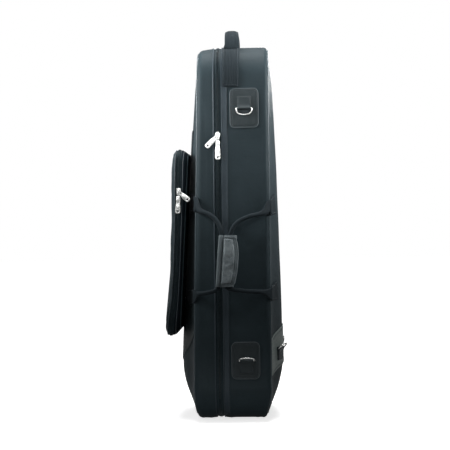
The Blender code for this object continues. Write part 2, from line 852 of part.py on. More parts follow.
def make_top_handle():
    """The strap loop over the top, its ends sewn down both sides."""
    low = TRIM_THICK + 2 * GAP
    near = [(-wall_side(STRAP_TAIL, low), STRAP_TAIL)]
    near_over = [(-wall_side(STRAP_TAIL, low + STRAP_THICK / 2), STRAP_TAIL)]
    centre = (0, ARCH_CENTRE)
    start, end = math.pi - LEAN, math.pi / 2
    angles = arc(centre, TOP_RADIUS + low, start, end, ARCH_STEPS)[:-2]
    overs = arc(centre, TOP_RADIUS + low + STRAP_THICK, start, end, ARCH_STEPS)[:-2]
    foot = angles[-1]
    crest = SHELL_TOP + LOOP_RISE - foot[1]
    under = []
    above = []
    for step in range(1, LOOP_STEPS):
        angle = math.pi - math.pi * step / LOOP_STEPS
        under.append((-foot[0] * math.cos(angle), foot[1] + crest * math.sin(angle)))
        wide, tall = -foot[0] + STRAP_THICK, crest + STRAP_THICK
        above.append((wide * math.cos(angle), foot[1] + tall * math.sin(angle)))
    inner = near + angles + under
    inner += [(-a, b) for a, b in reversed(near + angles)]
    outer = near_over + overs + above
    outer += [(-a, b) for a, b in reversed(near_over + overs)]
    left, right = STRAP_MIDDLE - STRAP_WIDTH / 2, STRAP_MIDDLE + STRAP_WIDTH / 2
    bm = along_x(prism(inner + outer[::-1], [], left, right))
    solid("top_handle", bm, "webbing", FRAMES["base"])


# Carry handles

def smooth_route(points, steps):
    """A Catmull-Rom curve through points of any size."""
    padded = [points[0], *points, points[-1]]
    route = []
    for index in range(len(points) - 1):
        before, start, end, after = padded[index:index + 4]
        for step in range(steps):
            t = step / steps
            here = []
            for a, b, c, d in zip(before, start, end, after):
                curve = (2 * a - 5 * b + 4 * c - d) * t * t + (3 * b - a - 3 * c + d) * t ** 3
                here.append(b + ((c - a) * t + curve) / 2)
            route.append(here)
    route.append(list(points[-1]))
    return route


def oval(point, along, wide, thin, sides, power=1.0):
    """A cross-section square to a direction, its thin way facing out of the wall."""
    out = Vector((0, 0, 1))
    out = (out - along * out.dot(along)).normalized()
    side = along.cross(out)
    section = []
    for step in range(sides):
        angle = 2 * math.pi * (step + 0.5) / sides
        a, b = math.cos(angle), math.sin(angle)
        a = math.copysign(abs(a) ** power, a)
        b = math.copysign(abs(b) ** power, b)
        section.append(tuple(point + side * (wide * a) + out * (thin * b)))
    return section


def directions(route):
    """Unit directions along a route of points."""
    found = []
    last = len(route) - 1
    for index in range(len(route)):
        run = Vector(route[min(index + 1, last)][:3]) - Vector(route[max(index - 1, 0)][:3])
        found.append(run.normalized())
    return found


def leg(start, end, flat_half, grip_wide, grip_thin):
    """One leg of a web, from its root at the piping to its end of the grip."""
    points = []
    for (across, up, out), flat, grip in zip(ROUTE_SHARES, FLAT_SHARES, GRIP_SHARES):
        place = [
            start[0] + (end[0] - start[0]) * across,
            start[1] + (end[1] - start[1]) * up,
            start[2] + (end[2] - start[2]) * out,
        ]
        wide = WEB_ROLL + (flat_half - WEB_ROLL) * flat + (grip_wide - WEB_ROLL) * grip
        thin = WEB_ROLL + (WEB_THIN_HALF - WEB_ROLL) * flat + (grip_thin - WEB_ROLL) * grip
        points.append((*place, wide, thin))
    return points


def make_carry_handle(half, root_high, root_low, middle, grip_half):
    """One web and its half of the grip, hung on a line along the piping."""
    wall = FRAMES["wall"] if half is BASE else FRAMES["lid_wall"]
    stand = (PIPING_RADIUS + GAP + WEB_THIN_HALF) / DIAGONAL_SHARE
    roots = []
    for up in (root_high, root_low):
        roots.append(Vector((half.side * (half.depth(up) + stand), up_wall(up), stand)))
    pivot = roots[1]
    along = (roots[0] - roots[1]).normalized()
    across = along.cross(Vector((0, 0, 1))).normalized()
    axis = empty(half.name + "_handle_axis", wall, pivot, (across, along, across.cross(along)))
    place = axis.rotation_euler.to_matrix().to_4x4()
    place.translation = pivot
    back = place.inverted()

    grip_thin = GRIP_HALF_THICK - GRIP_WALL - GAP
    grip_wide = grip_half - GRIP_WALL - GAP
    ends = []
    for up, shift in ((GRIP_HIGH, GRIP_LEAN), (GRIP_LOW, 0)):
        ends.append((middle + shift, up_wall(up), GRIP_STANDOFF))
    upper = leg(roots[0], ends[0], WEB_FLAT_HALF, grip_wide, grip_thin)
    lower = leg(roots[1], ends[1], WEB_LOW_FLAT_HALF, grip_wide, grip_thin)
    route = smooth_route(upper[:-1], WEB_STEPS) + [upper[-1]] + [lower[-1]]
    route += smooth_route(lower[:-1], WEB_STEPS)[::-1]
    ways = directions(route)
    for root in (0, -1):
        ways[root] = (ways[root] - along * ways[root].dot(along)).normalized()
    sections = []
    for (x, y, z, wide, thin), way in zip(route, ways):
        sections.append(oval(Vector((x, y, z)), way, wide, thin, WEB_SIDES))
    solid(half.name + "_handle_web", moved(bar(sections), back), "webbing", axis)

    run = (Vector(ends[1]) - Vector(ends[0])).normalized()
    shell = []
    wide_in, thin_in = grip_half - GRIP_WALL, GRIP_HALF_THICK - GRIP_WALL
    for spot, wide, thin in (
        (0, grip_half, GRIP_HALF_THICK),
        (1, grip_half, GRIP_HALF_THICK),
        (1, wide_in, thin_in),
        (0, wide_in, thin_in),
    ):
        point = Vector(ends[0]).lerp(Vector(ends[1]), spot)
        shell.append(oval(point, run, wide, thin, GRIP_SIDES, GRIP_SQUARE_SHARE))
    solid(half.name + "_grip", moved(hoop(shell), back), "leather", axis)


def make_anchors(half, roots):
    """The sewn ends of a carry web, lying on the padded face."""
    for place, up, wide in (("upper", roots[0], WEB_FLAT_HALF), ("lower", roots[1], WEB_LOW_FLAT_HALF)):
        low, high = up - wide, up + wide
        edge = ANCHOR_INSET
        outer = [
            (-wall_side(low) + edge, low),
            (-wall_side(low) + edge + ANCHOR_REACH, low),
            (-wall_side(high) + edge + ANCHOR_REACH, high),
            (-wall_side(high) + edge, high),
        ]
        name = half.name + "_web_anchor_" + place
        face_block(half, name, "webbing", FRAMES[half.name], outer, ANCHOR_THICK)


# Feet

def turned(profile, sides):
    """A closed body turned round the upright axis from (radius, height) points."""
    bm = bmesh.new()
    loops = []
    for radius, up in profile:
        loops.append([
            (radius * math.cos(2 * math.pi * step / sides), radius * math.sin(2 * math.pi * step / sides), up)
            for step in range(sides)
        ])
    rows = add_loops(bm, loops)
    bm.faces.new(rows[0])
    bm.faces.new(rows[-1])
    return bm


def make_feet():
    """Round feet under the bell end, each with a stud inside a groove."""
    for half, along in ((LID, LID_FOOT), (BASE, BASE_FOOT)):
        for place, side in (("near", -1), ("far", 1)):
            seat = empty(half.name + "_foot_place_" + place, FRAMES[half.name],
                         (half.side * along, side * FOOT_ACROSS, 0))
            cup = (
                (STUD_RADIUS, 0),
                (STUD_RADIUS, STUD_GROOVE),
                (STUD_RADIUS + STUD_GROOVE, STUD_GROOVE),
                (STUD_RADIUS + STUD_GROOVE, 0),
                (FOOT_RADIUS - STUD_GROOVE, 0),
                (FOOT_RADIUS, FOOT_HEIGHT / 2),
                (FOOT_RADIUS, FOOT_HEIGHT - GAP),
            )
            solid(half.name + "_foot_" + place, turned(cup, FOOT_SIDES), "metal", seat)


# Music pouch

def pocket_outline(outset):
    """The pouch's outline as (across, up), mirrored, from the top middle down the near side."""
    height = POCKET_TOP - POCKET_BOTTOM
    slope = (POCKET_BOTTOM_HALF - POCKET_TOP_HALF) / height
    side = outset * math.hypot(1, slope)
    top, bottom = outset, -height - outset
    high = -(POCKET_TOP_HALF + side - slope * outset)
    low = -(POCKET_BOTTOM_HALF + side + slope * outset)
    corners = (
        (-high, top, POCKET_TOP_RADIUS + outset),
        (high, top, POCKET_TOP_RADIUS + outset),
        (low, bottom, POCKET_BOTTOM_RADIUS + outset),
        (-low, bottom, POCKET_BOTTOM_RADIUS + outset),
    )
    points = rounded(corners, POCKET_CORNER_STEPS)
    half = [point for point in points if point[0] < 0]
    return half + [(-across, up) for across, up in reversed(half)]


def pocket_loop(outset, x):
    return [(x, across, up) for across, up in pocket_outline(outset)]


def pocket_dome(inset, sense, start, lift):
    """Loops of the pouch's puffed face, from its edge inwards."""
    loops = [pocket_loop(-inset, sense * (start + lift))]
    middle = (POCKET_TOP - POCKET_BOTTOM) / 2
    for share in POCKET_RING_SHARES:
        depth = min((1 - share) * POCKET_TOP_HALF / POCKET_CROWN_REACH, 1)
        swell = POCKET_CROWN * math.sin(depth * math.pi / 2)
        loop = []
        for across, up in pocket_outline(0):
            loop.append((sense * (start + swell + lift), across * share, -middle + (up + middle) * share))
        loops.append(loop)
    return loops


def make_pocket():
    """The pouch: a rear tray, a zipped front tray, piping, tapes and hanging tabs."""
    lid = FRAMES["lid"]
    crest_high = LID.face(0, POCKET_TOP)
    crest_low = LID.face(0, POCKET_BOTTOM)
    height = POCKET_TOP - POCKET_BOTTOM
    tilt = math.atan2(crest_high - crest_low, height)
    top = Vector((crest_high - POCKET_STANDOFF, 0, POCKET_TOP))
    swing = empty("pocket_swing_axis", lid, top)
    tilted = empty("pocket", swing)
    tilted.rotation_euler.y = tilt

    rear, split, front = 0, POCKET_REAR_DEPTH, POCKET_DEPTH
    wall = POCKET_WALL
    edge = (POCKET_PIPING + GAP) * DIAGONAL_SHARE
    tray = [
        pocket_loop(0, -edge),
        pocket_loop(0, -split),
        pocket_loop(-wall, -split),
        pocket_loop(-wall, -wall),
    ]
    solid("pocket_rear", stack([pocket_loop(-edge, rear), *tray]), "nylon", tilted)

    hinge = empty("pocket_flap_axis", tilted, (-split - POCKET_ZIP_HALF, 0, -height))
    shift = Matrix.Translation(-Vector(hinge.location))
    start = split + 2 * POCKET_ZIP_HALF
    outer = pocket_dome(edge, -1, front, 0)
    inner = pocket_dome(wall, -1, front, -wall)
    walls = [
        pocket_loop(0, -front + edge),
        pocket_loop(0, -start),
        pocket_loop(-wall, -start),
    ]
    bm = stack(outer[::-1] + walls + inner)
    solid("pocket_front", moved(bm, shift), "nylon", hinge)

    for name, middle, parent, place in (
        ("pocket_rear_piping", rear, tilted, None),
        ("pocket_front_piping", front, hinge, shift),
    ):
        loops = []
        for x, outset in arc((0, 0), POCKET_PIPING, 0, 2 * math.pi, PIPING_SIDES)[:-1]:
            loops.append(pocket_loop(outset, -middle + x))
        bm = hoop(loops)
        if place:
            moved(bm, place)
        solid(name, bm, "trim", parent)

    low, high = split + GAP, start - GAP
    loops = [pocket_loop(0, -low), pocket_loop(0, -high), pocket_loop(-wall, -high), pocket_loop(-wall, -low)]
    solid("pocket_zipper_tape", hoop(loops), "zipper", tilted)

    lean = math.atan2(POCKET_BOTTOM_HALF - POCKET_TOP_HALF, height)
    side = empty("pocket_side", tilted, (-split - POCKET_ZIP_HALF, -POCKET_TOP_HALF, 0), wall_columns(lean))
    meet = (POCKET_SLIDER_MEET - POCKET_TOP) / math.cos(lean)
    make_slider_pair("pocket_", side, meet, GAP, (POCKET_PULL_TURN, 0), POCKET_PULL_LENGTH)

    foot = POCKET_TOP + POCKET_PIPING + GAP
    for place, sign in (("near", -1), ("far", 1)):
        middle = (sign * POCKET_TAB_ACROSS, foot + POCKET_TAB_LENGTH / 2)
        outer = rounded_plate(POCKET_TAB_WIDTH, POCKET_TAB_LENGTH, POCKET_TAB_THICK, middle)
        face_block(LID, "pocket_tab_" + place, "webbing", lid, outer, POCKET_TAB_THICK)


# Inside of the case

def grooved_rest(name, half, kind, low, length, left, right, face, grooves, parent):
    """A foam rest across a half, with round grooves open to the zipper's plane."""
    bottom = half.side * (half.depth_low + half.crown)
    profile = [(left, bottom), (left, face)]
    for across, centre, radius in grooves:
        rise = centre - face
        for step in range(GROOVE_STEPS + 1):
            angle = math.pi - math.pi * step / GROOVE_STEPS
            point = (across + radius * math.cos(angle), centre + half.side * radius * math.sin(angle))
            if step == 0 and rise:
                profile.append((point[0], face))
            profile.append(point)
            if step == GROOVE_STEPS and rise:
                profile.append((point[0], face))
    profile += [(right, face), (right, bottom)]
    bm = prism([(x, y) for y, x in profile], [], low, low + length)
    piece = solid(name, bm, kind, parent)
    return cut(piece, room_tool(half), "INTERSECT")


def make_inside():
    """Rests for the bell and the slide, their straps, and the accessory box."""
    base, lid = FRAMES["base"], FRAMES["lid"]
    throat = (BELL_Y, BELL_X, THROAT_RADIUS)
    grooved_rest("bell_throat_rest", BASE, "plush", THROAT_REST_LOW, THROAT_REST_LENGTH,
                 BELL_Y - REST_HALF_WIDTH, BELL_Y + REST_HALF_WIDTH, BELL_X - REST_LIP, [throat], base)
    neck = (BELL_Y, BELL_X, NECK_RADIUS)
    grooved_rest("bell_neck_rest", BASE, "plush", NECK_REST_LOW, NECK_REST_LENGTH,
                 BELL_Y - NECK_HALF_WIDTH, BELL_Y + NECK_HALF_WIDTH, BELL_X - REST_LIP, [neck], base)
    for place, low in zip(("lower", "upper"), SLIDE_REST_LOWS):
        outer_tube = wall_side(low, -ROOM_INSET) - SLIDE_FROM_WALL
        inner_tube = outer_tube - SLIDE_SPACING
        grooves = [(inner_tube, SLIDE_X, SLIDE_RADIUS), (outer_tube, SLIDE_X, SLIDE_RADIUS)]
        left = inner_tube - SLIDE_RADIUS - SLIDE_REST_MARGIN
        right = outer_tube + SLIDE_RADIUS + SLIDE_REST_MARGIN / 2
        grooved_rest("slide_rest_" + place, LID, "plush", low, SLIDE_REST_LENGTH,
                     left, right, SLIDE_REST_FACE, grooves, lid)

    left, right = BOX_ACROSS - BOX_HALF_WIDTH, BOX_ACROSS + BOX_HALF_WIDTH
    bottom = BASE.depth_low + BASE.crown
    body = prism(rectangle(left, right, BOX_LOW, BOX_HIGH), [], BOX_FACE, bottom)
    box = solid("accessory_box", along_x(body), "plush", base)
    cut(box, room_tool(BASE), "INTERSECT")
    space = rectangle(left + BOX_WALL, right - BOX_WALL, BOX_LOW + BOX_WALL, BOX_HIGH - BOX_WALL)
    hollow = along_x(prism(space, [], BOX_FACE - OVERRUN, BOX_FACE + BOX_DEPTH))
    cut(box, cutter("guide_box_space", hollow, base), "DIFFERENCE")
    hinge = empty("accessory_lid_axis", base, (BOX_FACE - GAP - BOX_LID_THICK / 2, left, 0))
    plate = rectangle(0, right - left, BOX_LOW, BOX_HIGH)
    cover = along_x(prism(plate, [], -BOX_LID_THICK / 2, BOX_LID_THICK / 2))
    solid("accessory_lid", cover, "plush", hinge)


def build():
    for old in list(bpy.data.objects):
        bpy.data.objects.remove(old)
    make_frames()
    lid_wall = empty("lid_handle_wall", FRAMES["lid"], (0, -WALL_FOOT, 0), wall_columns(LEAN))
    FRAMES["lid_wall"] = lid_wall
    for half, face_name, frame in ((BASE, "back_panel", FRAMES["base"]), (LID, "front_panel", FRAMES["lid"])):
        make_core(half, frame)
        make_liner(half, frame)
        make_panel(half, face_name, frame)
        make_gusset_cover(half, half.name + "_gusset", frame)
        make_piping(half, half.name + "_piping", frame)
        make_tape(half, frame)
        make_hinge_tape(half, frame)
    make_trim(BASE, FRAMES["base"])
    lift = COIL_HEIGHT
    meet = up_wall(SLIDER_MEET)
    make_slider_pair("main_", FRAMES["wall"], meet, lift, (UPPER_PULL_TURN, 0), MAIN_PULL_LENGTH)
    make_top_handle()
    make_wall_ring("upper", UPPER_PATCH_MIDDLE, UPPER_RING_UP, False, 0)
    make_wall_ring("lower", LOWER_PATCH_MIDDLE, LOWER_RING_UP, True, LOWER_RING_LIFT)
    make_back_band()
    seam = LID_GRIP_HALF + GRIP_LEFT
    make_carry_handle(LID, LID_ROOT_HIGH, LID_ROOT_LOW, seam, LID_GRIP_HALF)
    offset = LID_GRIP_HALF + GRIP_SEAM + BASE_GRIP_HALF
    make_carry_handle(BASE, BASE_ROOT_HIGH, BASE_ROOT_LOW, seam + offset, BASE_GRIP_HALF)
    make_anchors(LID, (LID_ROOT_HIGH, LID_ROOT_LOW))
    make_anchors(BASE, (BASE_ROOT_HIGH, BASE_ROOT_LOW))
    make_feet()
    make_pocket()
    make_inside()


build()
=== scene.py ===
"""Looks of a soft-sided trombone case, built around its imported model."""

import json
import math

import bmesh
import bpy
import numpy as np
from mathutils import Matrix, Vector

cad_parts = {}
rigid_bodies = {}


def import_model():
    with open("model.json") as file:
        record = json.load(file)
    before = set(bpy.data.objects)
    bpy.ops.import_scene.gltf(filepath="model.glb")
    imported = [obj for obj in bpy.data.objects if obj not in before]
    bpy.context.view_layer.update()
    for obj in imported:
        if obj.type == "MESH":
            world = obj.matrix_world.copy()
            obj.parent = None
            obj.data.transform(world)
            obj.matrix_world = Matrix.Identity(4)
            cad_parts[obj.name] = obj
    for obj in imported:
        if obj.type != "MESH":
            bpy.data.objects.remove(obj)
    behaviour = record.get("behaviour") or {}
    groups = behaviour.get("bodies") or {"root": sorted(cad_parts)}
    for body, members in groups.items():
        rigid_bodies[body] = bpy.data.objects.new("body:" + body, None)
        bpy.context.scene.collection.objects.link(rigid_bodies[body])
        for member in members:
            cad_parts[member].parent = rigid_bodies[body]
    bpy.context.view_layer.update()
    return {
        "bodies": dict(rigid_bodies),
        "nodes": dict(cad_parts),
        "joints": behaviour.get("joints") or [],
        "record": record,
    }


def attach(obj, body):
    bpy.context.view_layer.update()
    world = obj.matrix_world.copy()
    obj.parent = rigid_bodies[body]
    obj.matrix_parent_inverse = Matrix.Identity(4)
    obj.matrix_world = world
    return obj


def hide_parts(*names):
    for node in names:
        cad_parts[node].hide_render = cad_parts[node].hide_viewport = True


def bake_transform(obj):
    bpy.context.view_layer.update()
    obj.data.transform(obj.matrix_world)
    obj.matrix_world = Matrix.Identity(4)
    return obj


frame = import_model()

# Sizes of the case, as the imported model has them
GAP = 0.0003
FOOT_HEIGHT = 0.006
SHELL_TOP = 0.946
HALF_WIDTH = 0.172
TOP_RADIUS = 0.098
CORNER_RADIUS = 0.075
PIPING_RADIUS = 0.0022
CROWN_REACH = 0.130
TOP_CROWN = 0.012
TAPE_WIDTH = 0.009
HINGE_LIFT = 0.0034
PATCH_THICK = 0.0022
RING_WIRE = 0.00175
LOOP_THICK = 0.0014
BAND_THICK = 0.0020

ARCH_CENTRE = SHELL_TOP - TOP_RADIUS
CORNER_CENTRE = FOOT_HEIGHT + CORNER_RADIUS
CORNER_ACROSS = HALF_WIDTH - CORNER_RADIUS
RISE = ARCH_CENTRE - CORNER_CENTRE
LEAN = math.atan2(CORNER_ACROSS, RISE) + math.asin(
    (CORNER_RADIUS - TOP_RADIUS) / math.hypot(CORNER_ACROSS, RISE))
WALL_FOOT = (ARCH_CENTRE * math.sin(LEAN) + TOP_RADIUS) / math.cos(LEAN)

HINGE = next(joint["pos_m"] for joint in frame["joints"] if joint["name"] == "lid_hinge")
CASE = np.array((HINGE[0], HINGE[1] - WALL_FOOT - HINGE_LIFT / math.cos(LEAN), 0.0))


def wall_side(up, outset=0.0):
    """Distance of the leaning side walls from the middle at a height."""
    return WALL_FOOT - up * math.tan(LEAN) + outset / math.cos(LEAN)


# Meshes

def new_object(name, points, faces):
    """An object from points in the case's frame, placed in the row's."""
    mesh = bpy.data.meshes.new(name)
    spots = np.asarray(points, float).reshape(-1, 3) + CASE
    mesh.from_pydata(spots.tolist(), [], [list(map(int, face)) for face in faces])
    mesh.validate()
    bm = bmesh.new()
    bm.from_mesh(mesh)
    bmesh.ops.recalc_face_normals(bm, faces=bm.faces)
    return linked(name, mesh, bm, 48)


def add(name, data):
    """A new object in the scene."""
    made = bpy.data.objects.new(name, data)
    bpy.context.scene.collection.objects.link(made)
    return made


def linked(name, mesh, bm, sharp_degrees):
    """An object in the scene from an edited mesh, smooth but for its sharp edges."""
    bm.to_mesh(mesh)
    bm.free()
    mesh.shade_smooth()
    mesh.set_sharp_from_angle(angle=math.radians(sharp_degrees))
    return add(name, mesh)


def grid_faces(rows, columns, loop=False):
    """Quads between rows that close on themselves; loop joins the last row to the first."""
    faces = []
    for row in range(rows if loop else rows - 1):
        here, below = row * columns, (row + 1) % rows * columns
        for column in range(columns):
            right = (column + 1) % columns
            faces.append((here + column, here + right, below + right, below + column))
    return faces


def sweep(sections, closed=False):
    """Points and faces of closed sections along a route, with filled ends unless it closes."""
    sections = np.asarray(sections, float)
    rows, columns = sections.shape[:2]
    faces = grid_faces(rows, columns, closed)
    if not closed:
        faces += [tuple(range(columns)), tuple(range((rows - 1) * columns, rows * columns))]
    return sections.reshape(-1, 3), faces


def across_faces(start, count):
    """Rungs between the two mirrored sides of a closed loop of points."""
    faces = []
    for a in range(count // 2):
        corners = [start + k for k in (a, a + 1, count - a - 1, (count - a) % count)]
        unique = list(dict.fromkeys(corners))
        if len(unique) > 2:
            faces.append(tuple(unique))
    return faces


def sheet(rows):
    """Points and faces of rows round the outline, with rungs across the first and last."""
    faces = grid_faces(len(rows), AROUND)
    for row in (0, len(rows) - 1):
        faces += across_faces(row * AROUND, AROUND)
    return np.array(rows).reshape(-1, 3), faces


def gather(parts):
    """One set of points and faces from several."""
    points, faces, count = [], [], 0
    for part_points, part_faces in parts:
        points.append(np.asarray(part_points, float).reshape(-1, 3))
        faces += [tuple(index + count for index in face) for face in part_faces]
        count += len(points[-1])
    return np.concatenate(points), faces


def smooth_line(points, steps):
    """A Catmull-Rom curve through rows of numbers."""
    points = np.asarray(points, float)
    padded = np.vstack((points[:1], points, points[-1:]))
    made = []
    for index in range(len(points) - 1):
        a, b, c, d = padded[index:index + 4]
        for step in range(steps):
            t = step / steps
            curve = (2 * a - 5 * b + 4 * c - d) * t * t + (3 * b - a - 3 * c + d) * t ** 3
            made.append(b + ((c - a) * t + curve) / 2)
    made.append(points[-1])
    return np.array(made)


def unit(vectors):
    vectors = np.asarray(vectors, float)
    return vectors / np.maximum(np.linalg.norm(vectors, axis=-1, keepdims=True), 1e-12)


def tenths(*rows):
    """Rows of sizes in metres, from tenths of a millimetre."""
    return np.array(rows) * 0.0001


def arc(angles):
    """Unit directions in a plane at angles."""
    return np.stack((np.cos(angles), np.sin(angles)), -1)


def oval(count, wide, tall, power=1.0, phase=0.0):
    """A closed loop between an ellipse and a box, from its half sizes."""
    ways = arc(2 * math.pi * (np.arange(count) + phase) / count)
    return np.sign(ways) * np.abs(ways) ** power * np.stack(np.broadcast_arrays(wide, tall), -1)


def rows_between(low, high, shares):
    """Rows at shares of the way from one row of points to another."""
    return [low + (high - low) * share for share in shares]


def outward(line):
    """Directions square to a closed plane line, on its right."""
    run = np.roll(line, -1, axis=0) - np.roll(line, 1, axis=0)
    return unit(np.column_stack((run[:, 1], -run[:, 0])))


def run_along(path):
    """The distance along a path at each of its points."""
    return np.concatenate(([0], np.cumsum(np.linalg.norm(np.diff(path, axis=0), axis=1))))


def at_run(at, far, path):
    """Points of a path at distances along it."""
    return np.column_stack([np.interp(at, far, column) for column in path.T])


def ease(share):
    return share * share * (3 - 2 * share)


def wave_noise(points, sizes, seed):
    """A smooth wandering value for each point, about -1 to 1."""
    maker = np.random.default_rng(seed)
    total, weight = 0.0, 0.0
    for size, strength in sizes:
        for _ in range(5):
            way = unit(maker.normal(size=3)) * (2 * math.pi / size)
            total = total + strength * np.sin(points @ way + maker.uniform(0, 2 * math.pi))
            weight += strength * 0.45
    return total / weight


# The face outline, dense enough to look round

def make_outline():
    """The outline and its outward directions, from the crown round by the near side."""
    straight, flat = 96, 13
    lean = arc(math.pi - LEAN)
    arch = arc(math.pi / 2 + (math.pi / 2 - LEAN) * np.arange(20) / 20)
    corner = arc(math.pi - LEAN + (math.pi / 2 + LEAN) * np.arange(18) / 18)
    top, low = np.array((0.0, ARCH_CENTRE)), np.array((-CORNER_ACROSS, CORNER_CENTRE))
    start, end = top + TOP_RADIUS * lean, low + CORNER_RADIUS * lean
    wall = start + (end - start) * np.arange(straight)[:, None] / straight
    floor = np.column_stack((np.linspace(-CORNER_ACROSS, 0, flat), np.full(flat, FOOT_HEIGHT)))
    spots = np.vstack((top + TOP_RADIUS * arch, wall, low + CORNER_RADIUS * corner, floor))
    ways = np.vstack((arch, np.tile(lean, (straight, 1)), corner, np.tile((0.0, -1.0), (flat, 1))))
    return tuple(np.vstack((half, (half * (-1, 1))[-2:0:-1])) for half in (spots, ways))


EDGE, EDGE_OUT = make_outline()
AROUND = len(EDGE)


def from_edge(spots):
    """Distance of face points from the outline."""
    spots = np.asarray(spots, float).reshape(-1, 2)
    start, end = EDGE, np.roll(EDGE, -1, axis=0)
    run = end - start
    length = (run ** 2).sum(1)
    least = np.full(len(spots), 1.0)
    for a, r, l in zip(start, run, length):
        share = np.clip(((spots - a) @ r) / l, 0, 1)
        least = np.minimum(least, np.hypot(*(spots - a - share[:, None] * r).T))
    return least


GRID_STEP = 0.004
GRID_ACROSS = np.arange(-0.184, 0.1841, GRID_STEP)
GRID_UP = np.arange(-0.004, 0.9561, GRID_STEP)


def blurred(values, passes):
    """A grid after some rounds of blurring along both of its directions."""
    for _ in range(passes):
        for axis in (0, 1):
            wide = np.pad(values, [(1, 1) if n == axis else (0, 0) for n in (0, 1)], "edge")
            before, after = (wide.take(range(k, k + values.shape[axis]), axis) for k in (0, 2))
            values = (before + 2 * values + after) / 4
    return values


def make_edge_grid():
    """Distance from the outline over the face, softened away from the outline."""
    spots = np.stack(np.meshgrid(GRID_ACROSS, GRID_UP, indexing="ij"), -1)
    exact = from_edge(spots).reshape(spots.shape[:2])
    return exact + (blurred(exact, 14) - exact) * ease(np.clip(exact / 0.05, 0, 1))


EDGE_GRID = make_edge_grid()


def sampled(grid, across, up):
    """Values of a grid at face points."""
    a, b = (np.clip((np.asarray(at) - ticks[0]) / GRID_STEP, 0, len(ticks) - 1.001)
            for at, ticks in ((across, GRID_ACROSS), (up, GRID_UP)))
    i, j = a.astype(int), b.astype(int)
    s, t = a - i, b - j
    low = grid[i, j] * (1 - s) + grid[i + 1, j] * s
    high = grid[i, j + 1] * (1 - s) + grid[i + 1, j + 1] * s
    return low * (1 - t) + high * t


def height_share(up):
    """Share of the way from the lower corners' centres to the arch's."""
    return np.clip((np.asarray(up) - CORNER_CENTRE) / RISE, 0, 1)


def swell(up, distance, crown):
    """How far the padding stands out at a distance from the outline."""
    fall = np.clip((ARCH_CENTRE - up) / (ARCH_CENTRE - 2 * CORNER_CENTRE), 0, 1)
    height = TOP_CROWN + (crown - TOP_CROWN) * fall ** 0.75
    return height * ease(np.clip(distance / CROWN_REACH, 0, 1))


class Half:
    """One half of the case: its side of the zipper, its depth and its padded face."""

    def __init__(self, name, side, low, high, crown, packed_crown, tuck):
        self.name, self.side, self.low, self.high = name, side, low, high
        self.crown, self.packed_crown, self.tuck = crown, packed_crown, tuck

    def depth(self, up):
        """Depth of the side wall, which is drawn in towards the floor."""
        drawn_in = self.tuck * np.clip((TUCK_TOP - np.asarray(up)) / (TUCK_TOP - FOOT_HEIGHT), 0, 1) ** 1.6
        return self.low + (self.high - self.low) * height_share(up) - drawn_in

    def face(self, across, up, lift=0.0):
        """Signed distance of the padded face from the zipper's plane."""
        up = np.asarray(up, float)
        return self.side * (self.depth(up) + swell(up, sampled(EDGE_GRID, across, up), self.crown) + lift)

    def point(self, across, up, lift=0.0):
        """Points of the padded face."""
        across, up = np.broadcast_arrays(np.asarray(across, float), np.asarray(up, float))
        return np.stack((self.face(across, up, lift), across, up), -1)

    def packed_face(self, across, up):
        """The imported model's padded face, which the rings and the pouch are set on."""
        distance = from_edge([(across, up)])[0]
        return float(self.side * (self.depth(up) + swell(up, distance, self.packed_crown)))


TUCK_TOP = 0.085
BASE = Half("base", 1, 0.126, 0.126, 0.029, 0.032, 0.0110)
LID = Half("lid", -1, 0.063, 0.050, 0.036, 0.038, 0.0055)


def toward_spine(spots, share):
    """Face points drawn in towards the line between the two end centres."""
    low, high = CORNER_CENTRE + CORNER_RADIUS, ARCH_CENTRE
    spine = np.clip(spots[:, 1], low, high)
    return np.stack((spots[:, 0] * share, spine + (spots[:, 1] - spine) * share), -1)


# Materials, all from nodes

def nodes_of(name):
    """A new material's tree, its shader and the places of its object."""
    made = bpy.data.materials.new(name)
    made.use_nodes = True
    tree = made.node_tree
    place = tree.nodes.new("ShaderNodeTexCoord").outputs["Object"]
    return made, tree, tree.nodes["Principled BSDF"], place


def feed(tree, node, values):
    """Give a node's inputs their values, or the outputs that they take."""
    for key, value in dict(values).items():
        if isinstance(value, bpy.types.NodeSocket):
            tree.links.new(value, node.inputs[key])
        else:
            node.inputs[key].default_value = value


def new_node(tree, kind, values, **settings):
    node = tree.nodes.new("ShaderNode" + kind)
    for key, value in settings.items():
        setattr(node, key, value)
    feed(tree, node, values)
    return node


def noise(tree, place, scale, detail, roughness=0.5, distortion=0.0):
    """The value of a noise texture, 0 to 1."""
    return new_node(tree, "TexNoise", {"Vector": place, "Scale": scale, "Detail": detail,
                                       "Roughness": roughness, "Distortion": distortion}).outputs["Fac"]


def maths(tree, operation, *values):
    return new_node(tree, "Math", enumerate(values), operation=operation).outputs[0]


def ramp(tree, value, stops):
    """A colour for a value, from (place, colour) stops."""
    node = new_node(tree, "ValToRGB", {"Fac": value})
    for element, (place, colour) in zip(node.color_ramp.elements, stops):
        element.position = place
        element.color = (*colour, 1)
    return node.outputs["Color"]


def span(tree, value, low, high):
    return new_node(tree, "MapRange", {"Value": value, "To Min": low, "To Max": high}).outputs["Result"]


def threads(tree, place, pitch):
    """Crossing rows of thread: a value from 0 to about 1."""
    parts, total = new_node(tree, "SeparateXYZ", {0: place}).outputs, None
    for axis in "XYZ":
        row = maths(tree, "SINE", maths(tree, "MULTIPLY", parts[axis], 2 * math.pi / pitch))
        total = row if total is None else maths(tree, "ADD", total, row)
    return maths(tree, "MULTIPLY_ADD", total, 0.5 / 3, 0.5)


